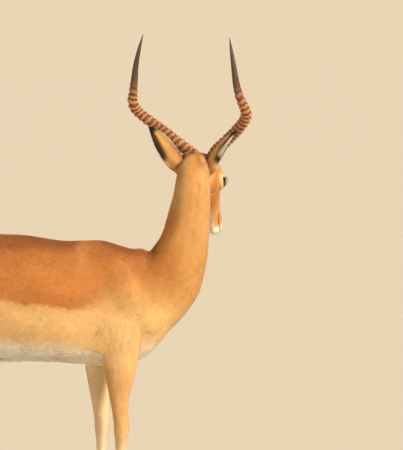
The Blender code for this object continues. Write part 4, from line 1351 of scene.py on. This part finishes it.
WAVINESS = 0.10          # how far the hair strays from the currents, in soft waves


def currents(points, courses, pull=1.0):
    """Sum of what currents of (path, reach) give, alike on both sides."""
    above = mirrored(points)
    flow = np.zeros((len(points), 3))
    for path, reach in courses:
        distance, _, direction = nearest_on(above, path)
        flow += direction * (pull * np.exp(-(distance / reach) ** 2) + 1e-7)[:, None]
    flow[:, 1] *= np.where(points[:, 1] < 0, -1.0, 1.0)
    return flow


def lie_of_coat(points, normals):
    """Which way the hair points, along the skin."""
    flow = currents(points, MIRRORED_CURRENTS)
    for leg, mine in each_leg(points):
        path = [(x, abs(y), z) for x, y, z in leg.path]
        flow[mine] += currents(points[mine], [(path, 0.07)], LEG_PULL)
    mine = belongs_to_head(points) > 0.02
    turned = currents(in_head(points)[mine], HEAD_CURRENTS, HEAD_PULL)
    flow[mine] += turned @ np.array((NOSEWARD, LEFT, CROWNWARD))
    for ear, mine in each_ear(points):
        flow[mine] = np.array(ear.along)
    flow[points[:, 0] < TAIL_X] = TAIL_FALL
    waves = np.stack([soft_noise(points, 0.030, seed) for seed in (41, 42, 43)], axis=1)
    flow += WAVINESS * np.abs(flow).sum(1)[:, None] * waves / 3
    flow -= (flow * normals).sum(1)[:, None] * normals
    return unit(flow)


# ---------------------------------------------------------------- tufts
COAT = [  # region, slot, number of tufts, half width of one; each tuft has four triangles
    ("head", "coat", 46_000, 0.00030),
    ("ears", "ear_coat", 24_000, 0.00036),
    ("neck", "coat", 44_000, 0.00052),
    ("forelegs", "coat", 36_000, 0.00040),
    ("hindlegs", "coat", 40_000, 0.00042),
    ("tail", "tail_coat", 5_000, 0.00060),
    ("chest", "coat", 49_000, 0.00062),
    ("barrel", "coat", 49_000, 0.00066),
    ("haunch", "coat", 49_000, 0.00066),
]
COAT_SEED = 7
TUFT_LIFT = math.radians(7)      # how far a tuft stands off the skin
TUFT_STRAY = 0.15                # how far it strays sideways from the lie, in radians
TUFT_RIDGE = 0.40                # height of a tuft's ridge over its half width
TUFT_RIDGE_AT = 0.12             # share of its length where the ridge is highest
TUFT_TONE = 0.065                # how much tufts differ in tone
TUFT_SUNK = 0.0004
TUFT_ROUND = 0.45                # how far its sides face sideways when it is shaded
PATCH = 0.003                    # size of a tuft's patch on the OFBake map
NECK_CUT = (Vector((0.105, 0.0, 0.905)), Vector((0.915, 0.0, 0.400)))


def region_of(points):
    """For each point the name of the coat region that it is in."""
    x = points[:, 0]
    found = np.where(x > -0.16, "chest", np.where(x > -0.45, "barrel", "haunch")).astype("U8")
    neck = (points - np.array(NECK_CUT[0])) @ np.array(NECK_CUT[1]) > 0
    found[neck] = "neck"
    found[neck & (belongs_to_head(points) > 0.5)] = "head"
    for leg, mine in each_leg(points):
        found[mine] = "hindlegs" if leg.hind else "forelegs"
    found[on_ears(points) != 0] = "ears"
    found[x < TAIL_X] = "tail"
    return found


HAIR_BY_HEIGHT = [(0.03, 0.0045), (0.12, 0.0050), (0.30, 0.0065), (0.50, 0.0090), (0.62, 0.0110)]
HAIR_ALONG_FACE = [(0.0, 0.0070), (0.10, 0.0052), (0.20, 0.0046), (0.26, 0.0034), (0.30, 0.0020)]


def hair_length(points, normals):
    """How long the hair is: shortest on the face and the feet, longest on the rump."""
    x, z = points[:, 0], points[:, 2]
    length = read_off(HAIR_BY_HEIGHT, z) * (1 + 0.35 * step(-0.62, -0.74, x))
    length = length * (1 + 0.45 * step(-0.5, -0.9, normals[:, 2]) * step(0.45, 0.52, z))
    on_face = belongs_to_head(points)
    length = length * (1 - on_face) + on_face * read_off(HAIR_ALONG_FACE, in_head(points)[:, 0])
    for eye in EYES.values():
        local = eye.places(points)
        near_eye = step(2.4, 1.3, eye.opening(local)) * (local[:, 2] > EYE_FRONT)
        length = length * (1 - 0.62 * near_eye)
    for ear, mine in each_ear(points):
        share, _, facing = ear.places(points[mine], normals[mine])
        length[mine] = np.where(facing > 0, 0.0085, 0.0046) * (1 - 0.3 * share)
    return length


def is_bald(points):
    """Whether no hair grows: nose leather, lips' edges, nostrils, between the lids, feet's ends."""
    face = mirrored(in_head(points))
    found = (face[:, 0] > 0.2880) & (face[:, 1] < 0.0085) & (face[:, 2] > -0.0120)
    found &= face[:, 2] < 0.0030
    found |= nearest_on(face, MOUTH)[0] < 0.0016
    found |= nearest_on(face, NOSTRIL)[0] < 0.0048
    for eye in EYES.values():
        local = eye.places(points)
        found |= (eye.opening(local) < 1.16) & (local[:, 2] > EYE_FRONT)
    for leg in LEGS:
        point, normal = leg.coronet()
        below = (points - np.array(point)) @ np.array(normal) < 0.001
        close = np.abs(points[:, 0] - point.x) < FOOT_REACH
        found |= below & close & (points[:, 1] * leg.side > 0)
    return found


class Hide:
    """The finished skin as numbers, and where hair grows on it."""

    def __init__(self, skin):
        self.points, self.normals = points_of(skin.data), normals_of(skin.data)
        self.triangles = triangles_of(skin.data)
        self.centres = self.points[self.triangles].mean(1)
        self.facings = unit(self.normals[self.triangles].mean(1))
        self.hairy = ~is_bald(self.centres)
        self.tree = BVHTree.FromPolygons(self.points.tolist(), self.triangles.tolist())

    def roots(self, chosen, count, rng):
        """Roots spread evenly over the chosen triangles, with the skin's normals there."""
        chosen = self.triangles[chosen & self.hairy]
        corners, normals = self.points[chosen], self.normals[chosen]
        a, b, c = corners[:, 0], corners[:, 1], corners[:, 2]
        gone = np.cumsum(np.linalg.norm(np.cross(b - a, c - a), axis=1))
        count = int(count * COAT_SHARE)
        picks = (np.arange(count) + rng.uniform(0, 1, count)) * gone[-1] / count
        index = np.minimum(np.searchsorted(gone, picks), len(gone) - 1)
        u, v = rng.uniform(0, 1, (2, count))
        over = u + v > 1
        u, v = np.where(over, 1 - u, u), np.where(over, 1 - v, v)
        shares = np.stack([1 - u - v, u, v], axis=1)[..., None]
        return (corners[index] * shares).sum(1), unit((normals[index] * shares).sum(1))

    def nearest(self, places):
        """The nearest places on the skin and its normals there."""
        found = [self.tree.find_nearest(place)[:2] for place in places.tolist()]
        flat = np.array([(*spot, *normal) for spot, normal in found])
        return flat[:, :3], flat[:, 3:]


def around(points, path):
    """Turn round the path and share along it, both from 0 to 1: a limb's skin laid flat."""
    path = np.asarray(path, float)
    _, share, direction = nearest_on(points, path)
    gone = np.concatenate([[0.0], np.cumsum(np.linalg.norm(np.diff(path, axis=0), axis=1))])
    middle = np.stack([np.interp(share * gone[-1], gone, path[:, k]) for k in range(3)], axis=1)
    level = unit(np.cross(direction, (0.31, 0.94, 0.11)))
    upright = np.cross(level, direction)
    offset = points - middle
    angle = np.arctan2((offset * upright).sum(1), (offset * level).sum(1))
    return np.stack([angle / (2 * math.pi) + 0.5, share], axis=1)


MAP_PATHS = {  # the middle line round which each region's skin is laid flat
    "head": [on_head(x, 0, -0.012) for x in (-0.02, 0.10, 0.20, 0.30)],
    "neck": [s[:3] for s in NECK_STATIONS],
    "tail": [s[:3] for s in TAIL_CORE],
    "chest": [(-0.16, 0, 0.71), (0.03, 0, 0.71), (0.20, 0, 0.76)],
    "barrel": [(-0.45, 0, 0.73), (-0.16, 0, 0.72)],
    "haunch": [(-0.76, 0, 0.77), (-0.45, 0, 0.74)],
}


def unwrapped(region, points, normals):
    """Where each root lies on the flat map of its region's skin, from 0 to 1."""
    place = np.zeros((len(points), 2))
    if region == "ears":
        for ear, mine in each_ear(points):
            share, across, facing = ear.places(points[mine], normals[mine])
            panel = (ear.side < 0) + np.where(facing > 0, 0, 2)
            place[mine] = np.stack([(panel + 0.5 + 0.46 * across) / 4, share], axis=1)
    elif region in MAP_PATHS:
        place = around(points, MAP_PATHS[region])
    else:
        for leg, mine in each_leg(points):
            place[mine] = (around(points[mine], leg.path) + (leg.side > 0, 0)) / (2, 1)
    return 0.01 + 0.98 * np.clip(place, 0.0, 1.0)


def tuft_mesh(name, corners, faces, under, facings, colours, places, patch):
    """One mesh of many like tufts: corners (tufts, points, 3), the faces and map patch of one.

    Each corner shades by its own facing, so that a thin tuft looks round and lit as the skin is;
    the faces under it face the other way.
    """
    count, each = corners.shape[:2]
    index = (faces[None] + (np.arange(count) * each)[:, None, None]).reshape(-1)
    mesh = bpy.data.meshes.new(name)
    mesh.vertices.add(count * each)
    mesh.vertices.foreach_set("co", corners.astype(np.float32).ravel())
    mesh.loops.add(len(index))
    mesh.loops.foreach_set("vertex_index", index.astype(np.int32))
    mesh.polygons.add(len(index) // 3)
    mesh.polygons.foreach_set("loop_start", np.arange(0, len(index), 3, dtype=np.int32))
    mesh.update(calc_edges=True)
    paint(mesh, "fur", colours.reshape(-1, 3))
    layer = mesh.uv_layers.new(name="OFBake")
    spots = (places[:, None] + patch[None] * PATCH).reshape(-1, 2)[index]
    layer.data.foreach_set("uv", np.clip(spots, 0.0, 1.0).astype(np.float32).ravel())
    turned = np.repeat(np.where(under, -1.0, 1.0), 3)[None, :, None]
    mesh.normals_split_custom_set(unit(facings[:, faces.reshape(-1)] * turned).reshape(-1, 3))
    return linked(name, mesh)


def toned(colours, ends, rng):
    """A colour for each corner of each tuft: tufts differ in tone and are paler at the tip."""
    tone = (1 + TUFT_TONE * rng.normal(0, 1, len(colours)).clip(-2, 2))[:, None, None]
    return np.clip(colours[:, None] * tone * np.array(ends)[None, :, None], 0.003, 0.95)


SPIKE_FACES = np.array([(0, 3, 2), (1, 2, 3), (0, 1, 3), (0, 2, 1)])   # left, right, under, end
SPIKE_UNDER = np.array([False, False, True, False])
SPIKE_PATCH = np.array([(-0.5, -0.5), (0.5, -0.5), (0.0, -0.1), (0.0, 0.5)])
SPIKE_TONES = [0.92, 0.92, 0.97, 1.06]                 # from the root to the tip


def spikes(region, roots, normals, half_width, hide, rng):
    """Short tufts that lie along the coat: each a closed spike with a low ridge."""
    count = len(roots)
    flow = lie_of_coat(roots, normals)
    stray = rng.normal(0, TUFT_STRAY, count)[:, None]
    flow = unit(flow * np.cos(stray) + np.cross(normals, flow) * np.sin(stray))
    across = np.cross(normals, flow)
    length = (hair_length(roots, normals) * rng.uniform(0.70, 1.25, count))[:, None]
    lift = TUFT_LIFT * rng.uniform(0.4, 1.5, count)[:, None]
    width = half_width * rng.uniform(0.7, 1.3, count)[:, None]
    root = roots - normals * TUFT_SUNK
    under_tip, tip_normals = hide.nearest(roots + flow * length)
    tip = under_tip + tip_normals * length * np.sin(lift)
    ridge = root + normals * (width * TUFT_RIDGE + TUFT_SUNK) + flow * length * TUFT_RIDGE_AT
    corners = np.stack([root - across * width, root + across * width, ridge, tip], axis=1)
    facings = np.stack([normals - across * TUFT_ROUND, normals + across * TUFT_ROUND,
                        normals, tip_normals], axis=1)
    shades = toned(coat_colour(roots, normals), SPIKE_TONES, rng)
    return tuft_mesh(f"coat_{region}", corners, SPIKE_FACES, SPIKE_UNDER, facings, shades,
                     unwrapped(region, roots, normals), SPIKE_PATCH)


LOCK_RISE = 0.30                     # how far a lock leaves the skin, for its length
LOCK_WAVE = 0.10                     # how far it bends sideways
LASHES = 40                          # on each upper lid
LASH_LENGTH, LASH_WIDTH = 0.013, 0.00032
LOCK_RINGS = (0.0, 0.35, 0.70)       # shares of a lock's length where it has a ring of three points
LOCK_TONES = [0.90] * 3 + [0.98] * 3 + [1.03] * 3 + [1.06]
LOCK_PATCH = np.array([(i * 0.5 - 0.5, r / 3 - 0.5) for r in range(3) for i in range(3)] + [(0, 0.5)])


def lock_faces():
    """The faces of one lock, and which of them are under it."""
    faces, under = [(0, 2, 1)], [False]
    for ring in range(len(LOCK_RINGS) - 1):
        for i in range(3):
            a, b = ring * 3 + i, ring * 3 + (i + 1) % 3
            faces += [(a, b, b + 3), (a, b + 3, a + 3)]
            under += [i == 0, i == 0]
    last = 3 * (len(LOCK_RINGS) - 1)
    faces += [(last + i, last + (i + 1) % 3, last + 3) for i in range(3)]
    under += [i == 0 for i in range(3)]
    return np.array(faces), np.array(under)


def locks(name, region, roots, outwards, flow, length, half_width, droop, colours, rng):
    """Longer locks: they leave the skin outwards, bend into the flow and then droop."""
    across = unit(np.cross(outwards, flow))
    wave = rng.normal(0, 1, len(roots))[:, None]
    drooping = np.array((0.0, 0.0, -1.0))
    corners, facings = [], []
    for share in (*LOCK_RINGS, 1.0):
        centre = roots + (flow * share + outwards * (LOCK_RISE * share * (1 - 0.6 * share))
                          + across * (LOCK_WAVE * share ** 2 * wave)
                          + drooping * (droop * share ** 2)) * length[:, None]
        heading = (flow + outwards * (LOCK_RISE * (1 - 1.2 * share))
                   + across * (2 * LOCK_WAVE * share * wave) + drooping * (2 * droop * share))
        top = unit(np.cross(heading, across))
        if share == 1.0:
            corners.append(centre)
            facings.append(top)
        else:
            wide = (half_width * (1.0 - 0.55 * share ** 1.5))[:, None]
            corners += [centre - across * wide - top * wide * 0.3,
                        centre + across * wide - top * wide * 0.3, centre + top * wide * 0.7]
            facings += [top - across * TUFT_ROUND, top + across * TUFT_ROUND, top]
    return tuft_mesh(name, np.stack(corners, axis=1), *lock_faces(), np.stack(facings, axis=1),
                     toned(colours, LOCK_TONES, rng), unwrapped(region, roots, outwards), LOCK_PATCH)


def lashes(name, side, rng):
    """The long dark lashes of one upper lid."""
    eye = EYES[side]
    turn = np.linspace(math.radians(15), math.radians(165), LASHES)
    forward, up = EYE_OPENING[0] * np.cos(turn), EYE_OPENING[1] * np.sin(turn)
    out = np.sqrt((EYE_RADIUS + LID_THICKNESS) ** 2 - forward ** 2 - up ** 2)
    roots = eye.centre + np.stack([forward, up, out], axis=1) @ eye.axes
    flow = unit(np.stack([0.35 * np.cos(turn), 0.45 + 0.1 * np.sin(turn), 0.85 + 0 * turn], axis=1))
    flow = unit(flow @ eye.axes + 0.06 * rng.normal(0, 1, (LASHES, 3)))
    length = LASH_LENGTH * (0.55 + 0.45 * np.sin(turn)) * rng.uniform(0.8, 1.1, LASHES)
    return locks(name, "head", roots, np.tile(eye.axes[1], (LASHES, 1)), flow, length,
                 np.full(LASHES, LASH_WIDTH), -0.10, np.tile(BLACK, (LASHES, 1)), rng)


def make_coat(skin):
    """All coat pieces as (object, slot)."""
    rng = np.random.default_rng(COAT_SEED)
    hide = Hide(skin)
    regions = region_of(hide.centres)
    pieces = []
    for region, slot, count, half_width in COAT:
        roots, normals = hide.roots(regions == region, count, rng)
        pieces.append((spikes(region, roots, normals, half_width, hide, rng), slot))
    for name, side in SIDES:
        pieces.append((lashes(f"lashes_{name}", side, rng), "coat"))
    growing = lock_places(hide.centres, hide.facings)
    for name, region, slot, count, length, half_width, droop in LOCKS:
        roots, outwards = hide.roots(growing[name], count, rng)
        flow = lie_of_coat(roots, outwards)
        if name == "tail":
            flow = unit(TAIL_FALL + 0.20 * outwards)
        lengths = length * rng.uniform(0.65, 1.15, len(roots))
        widths = half_width * rng.uniform(0.7, 1.3, len(roots))
        made = locks(f"locks_{name}", region, roots, outwards, flow, lengths, widths, droop,
                     coat_colour(roots, outwards), rng)
        pieces.append((made, slot))
    return pieces


LOCKS = [  # name, region, slot, number, length, half width, droop
    ("tail", "tail", "tail_coat", 2400, 0.055, 0.0020, 0.05),
    ("metatarsal", "hindlegs", "coat", 700, 0.020, 0.0009, 0.30),
    ("sheath", "barrel", "coat", 260, 0.026, 0.0010, 0.35),
    ("belly", "barrel", "coat", 1900, 0.015, 0.0010, 0.10),
    ("buttock", "haunch", "coat", 1500, 0.017, 0.0011, 0.15),
    ("ear_inside", "ears", "ear_coat", 900, 0.020, 0.00055, 0.0),
    ("ear_rim", "ears", "ear_coat", 900, 0.0085, 0.00045, 0.0),
]
SHEATH = [(-0.44, 0.0, 0.520), (-0.345, 0.0, 0.508)]


def lock_places(points, normals):
    """Whether each kind of lock grows at each place of the skin."""
    x, z = points[:, 0], points[:, 2]
    above = mirrored(points)
    grows = {name: np.zeros(len(points), bool) for name, *_ in LOCKS}
    grows["tail"] = x < TAIL_X + 0.012
    for leg in LEGS:
        if leg.hind:
            local = leg.local(points)
            tuft = (nearest_on(local, METATARSAL)[0] < 0.020) & (local[:, 0] < -0.036)
            grows["metatarsal"] |= tuft
    grows["sheath"] = nearest_on(above, SHEATH)[0] < 0.030
    grows["belly"] = ((normals[:, 2] < -0.55) & (z > 0.49) & (z < 0.60) & (x > -0.56) & (x < 0.14)
                      & (above[:, 1] < 0.10))
    grows["buttock"] = ((normals[:, 0] < -0.30) & (x < -0.60) & (z > 0.52) & (z < 0.86)
                        & ~grows["tail"])
    for ear, mine in each_ear(points):
        share, across, facing = ear.places(points, normals)
        across = np.abs(across)
        grows["ear_inside"] |= mine & (facing > 0.2) & (share < 0.62) & (across > 0.25)
        grows["ear_rim"] |= mine & (across > 0.80) & (share > 0.12)
    return grows


# ---------------------------------------------------------------- materials
class Nodes:
    """A node tree, of a material or the world, built by naming what each node takes."""

    def __init__(self, data, shader="Principled BSDF"):
        data.use_nodes = True
        self.data, self.tree = data, data.node_tree
        self.shader = self.tree.nodes[shader]

    def add(self, kind, inputs=None, **settings):
        node = self.tree.nodes.new(kind)
        for key, value in settings.items():
            setattr(node, key, value)
        for key, value in (inputs or {}).items():
            self.feed(node.inputs[key], value)
        return node

    def feed(self, socket, value):
        if isinstance(value, bpy.types.NodeSocket):
            self.tree.links.new(value, socket)
        else:
            socket.default_value = value

    def set(self, **inputs):
        for key, value in inputs.items():
            self.feed(self.shader.inputs[key.replace("_", " ")], value)

    def attribute(self, name, output="Fac"):
        return self.add("ShaderNodeAttribute", attribute_name=name).outputs[output]

    def place(self, stretch=None, vector=None):
        """The vector, by default the place on the object, stretched if need be."""
        vector = vector or self.add("ShaderNodeTexCoord").outputs["Object"]
        if stretch:
            vector = self.add("ShaderNodeMapping", {"Vector": vector, "Scale": stretch}).outputs[0]
        return vector

    def noise(self, scale, detail=4.0, roughness=0.55, vector=None):
        return self.add("ShaderNodeTexNoise", {
            "Vector": vector or self.place(), "Scale": scale, "Detail": detail,
            "Roughness": roughness}).outputs["Fac"]

    def ramp(self, value, *stops):
        node = self.add("ShaderNodeValToRGB", {"Fac": value})
        ramp = node.color_ramp
        while len(ramp.elements) < len(stops):
            ramp.elements.new(1.0)
        for element, (position, colour) in zip(ramp.elements, stops):
            element.position = position
            element.color = (*colour, 1.0)
        return node.outputs["Color"]

    def math(self, operation, first, second=0.0):
        return self.add("ShaderNodeMath", {0: first, 1: second}, operation=operation).outputs[0]

    def scaled(self, value, factor, offset):
        return self.math("ADD", self.math("MULTIPLY", value, factor), offset)

    def blend(self, share, first, second, blend_type="MIX"):
        node = self.add("ShaderNodeMix", data_type="RGBA", blend_type=blend_type)
        for index, value in ((0, share), (6, first), (7, second)):
            self.feed(node.inputs[index], (*value, 1.0) if isinstance(value, tuple) else value)
        return node.outputs[2]

    def bump(self, height, distance, strength):
        self.set(Normal=self.add("ShaderNodeBump", {
            "Height": height, "Distance": distance, "Strength": strength}).outputs["Normal"])


def new_material(name):
    return Nodes(bpy.data.materials.new(name))


def fur_material():
    """Short hair: the painted coat, mottled a little, rough, with a sheen along its edges."""
    n = new_material("coat")
    fine, broad = n.noise(900.0, 3.0), n.noise(26.0, 3.0)
    shade = n.math("ADD", n.math("MULTIPLY", fine, 0.16), n.math("MULTIPLY", broad, 0.14))
    shade = n.math("ADD", shade, 0.86)
    grey = n.add("ShaderNodeCombineColor", {"Red": shade, "Green": shade, "Blue": shade})
    n.set(Base_Color=n.blend(1.0, n.attribute("fur", "Color"), grey.outputs[0], "MULTIPLY"),
          Roughness=n.scaled(fine, 0.16, 0.62), Specular_IOR_Level=0.25, Sheen_Weight=0.18,
          Sheen_Roughness=0.35)
    n.bump(n.noise(700.0, 3.0), 0.0002, 0.5)
    return n.data


def horn_material():
    """Ridges pale from wear and painted highlight, grooves dark partly as painted shade, blotched and
    fibrous, then a smooth dark tip.
    """
    n = new_material("horn")
    ridge, ringed = n.attribute("ridge"), n.attribute("ringed")
    fibre = n.noise(7.0, 6.0, 0.62, n.place((5.0, 5.0, 1.6), n.attribute("round", "Vector")))
    blotch = n.noise(95.0, 5.0, 0.65)
    mixed = n.math("ADD", ridge, n.math("MULTIPLY", n.math("SUBTRACT", blotch, 0.5), 1.1))
    # Painted shade in the grooves and painted highlight on the highest ridges, laid over the horn's own
    # tones.
    rings = n.ramp(mixed, (0.02, HORN_GROOVE), (0.30, HORN_RIDGE), (0.95, HORN_WORN_AND_LIT))
    rings = n.blend(n.math("MULTIPLY", fibre, 0.45), rings, HORN_GROOVE)
    tip = n.blend(n.math("MULTIPLY", fibre, 0.6), HORN_TIP, HORN_TIP_PALE)
    n.set(Base_Color=n.blend(ringed, tip, rings), Specular_IOR_Level=0.42,
          Roughness=n.scaled(fibre, 0.20, n.math("ADD", 0.20, n.math("MULTIPLY", ringed, 0.30))))
    n.bump(n.math("ADD", fibre, n.math("MULTIPLY", blotch, 0.8)), 0.0012, 0.8)
    return n.data


def hoof_material():
    """Black horn, paler at the coronet and at the sole's edge, with a grain along the wall."""
    n = new_material("hoof")
    grain = n.noise(60.0, 6.0, 0.65, n.place((1.0, 1.0, 5.0)))
    wall = n.ramp(n.attribute("share"), (0.0, (0.055, 0.043, 0.034)), (0.25, (0.022, 0.017, 0.014)),
                  (0.85, (0.030, 0.022, 0.017)), (1.0, (0.060, 0.042, 0.030)))
    n.set(Base_Color=n.blend(n.math("MULTIPLY", grain, 0.35), wall, (0.10, 0.080, 0.062)),
          Roughness=n.scaled(grain, 0.30, 0.28))
    n.bump(grain, 0.0006, 0.6)
    return n.data


def eye_material():
    """Dark brown iris with a long level pupil under a wet, clear surface."""
    n = new_material("eye")
    local = n.attribute("iris", "Vector")
    parts = n.add("ShaderNodeSeparateXYZ", {"Vector": local}).outputs
    squares = [n.math("MULTIPLY", part, part)
               for part in (parts["X"], n.math("MULTIPLY", parts["Y"], 1.9))]
    from_middle = n.math("SQRT", n.math("ADD", *squares))
    fibres = n.noise(14.0, 5.0, 0.6, local)
    brown = n.blend(fibres, (0.012, 0.006, 0.003), (0.036, 0.016, 0.007))
    iris = n.ramp(from_middle, (0.40, (0.0, 0.0, 0.0)), (0.48, (1.0, 1.0, 1.0)))
    colour = n.blend(iris, (0.004, 0.004, 0.006), brown)
    rim = n.ramp(parts["Z"], (0.30, (0.006, 0.005, 0.004)), (0.50, (1.0, 1.0, 1.0)))
    n.set(Base_Color=n.blend(1.0, colour, rim, "MULTIPLY"), Roughness=n.scaled(fibres, 0.03, 0.05),
          IOR=1.33, Specular_IOR_Level=0.28, Coat_Weight=0.25, Coat_Roughness=0.02)
    n.bump(fibres, 0.00002, 0.3)
    return n.data


# ---------------------------------------------------------------- studio
def add_floor():
    """One pale floor that reaches past every view's horizon."""
    bm = bmesh.new()
    bmesh.ops.create_grid(bm, x_segments=2, y_segments=2, size=FLOOR_REACH)
    floor = object_from(bm, "floor")
    n = new_material("floor")
    grain = n.noise(3.0, 5.0, 0.6)
    n.set(Base_Color=n.blend(n.math("MULTIPLY", grain, 0.35), FLOOR_COLOUR, FLOOR_SHADE),
          Roughness=n.scaled(grain, 0.2, 0.75), Specular_IOR_Level=0.1)
    floor.data.materials.append(n.data)


def light_studio():
    """A warm horizon under a darker sky, and three soft suns."""
    n = Nodes(bpy.data.worlds.new("studio"), "Background")
    way = n.add("ShaderNodeSeparateXYZ", {"Vector": n.add("ShaderNodeTexCoord").outputs["Generated"]})
    n.set(Color=n.ramp(way.outputs["Z"], (0.04, HORIZON_COLOUR), (0.30, ZENITH_COLOUR)))
    bpy.context.scene.world = n.data
    for name, source, spread, strength, colour in LIGHTS:
        lamp = bpy.data.lights.new(name, "SUN")
        lamp.angle = math.radians(spread)
        lamp.energy = strength
        lamp.color = colour
        linked(name, lamp).rotation_euler = Vector(source).to_track_quat("Z", "Y").to_euler()


def add_camera():
    """Long lens at the photo's height, level with the body and square to it."""
    target = TO_FRAME @ CAMERA_TARGET
    lens = bpy.data.cameras.new("camera")
    lens.sensor_width = SENSOR_WIDTH
    lens.lens = SENSOR_WIDTH * CAMERA_DISTANCE / PHOTO_WIDTH
    lens.clip_end = FLOOR_REACH
    camera = linked("camera", lens)
    rise = math.radians(CAMERA_ELEVATION)
    camera.location = target + Vector((0.0, -math.cos(rise), math.sin(rise))) * CAMERA_DISTANCE
    camera.rotation_euler = (target - camera.location).to_track_quat("-Z", "Y").to_euler()
    bpy.context.scene.camera = camera


# ---------------------------------------------------------------- everything together
def finished(obj, material, slot, *nodes):
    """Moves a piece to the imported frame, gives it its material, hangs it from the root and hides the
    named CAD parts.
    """
    obj.data.transform(TO_FRAME)
    obj.data.materials.clear()
    obj.data.materials.append(material)
    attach(obj, "root")
    if nodes:
        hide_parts(*nodes)


def main():
    fur, horny, hoofy, glassy = fur_material(), horn_material(), hoof_material(), eye_material()
    skin = make_skin()
    paint(skin.data, "fur", coat_colour(points_of(skin.data), normals_of(skin.data)))
    for piece, slot in make_coat(skin):
        finished(piece, fur, slot)
    finished(skin, fur, "coat", "head", "neck", "trunk", "ear_left", "ear_right", "tail",
             *[leg.name for leg in LEGS])
    for name, side in SIDES:
        finished(horn(f"ringed_horn_{name}", side), horny, "horn", f"horn_{name}")
        finished(eyeball(f"eyeball_{name}", side), glassy, "eye", f"eye_{name}")
    for leg in LEGS:
        for which, outward in (("outer", leg.side), ("inner", -leg.side)):
            made = claw(f"claw_{leg.name}_{which}", leg.toe_x, leg.foot[1], outward)
            finished(made, hoofy, "hoof", f"hoof_{leg.name}_{which}")
    add_floor()
    light_studio()
    add_camera()
    bpy.context.scene.view_settings.view_transform = "Standard"


main()
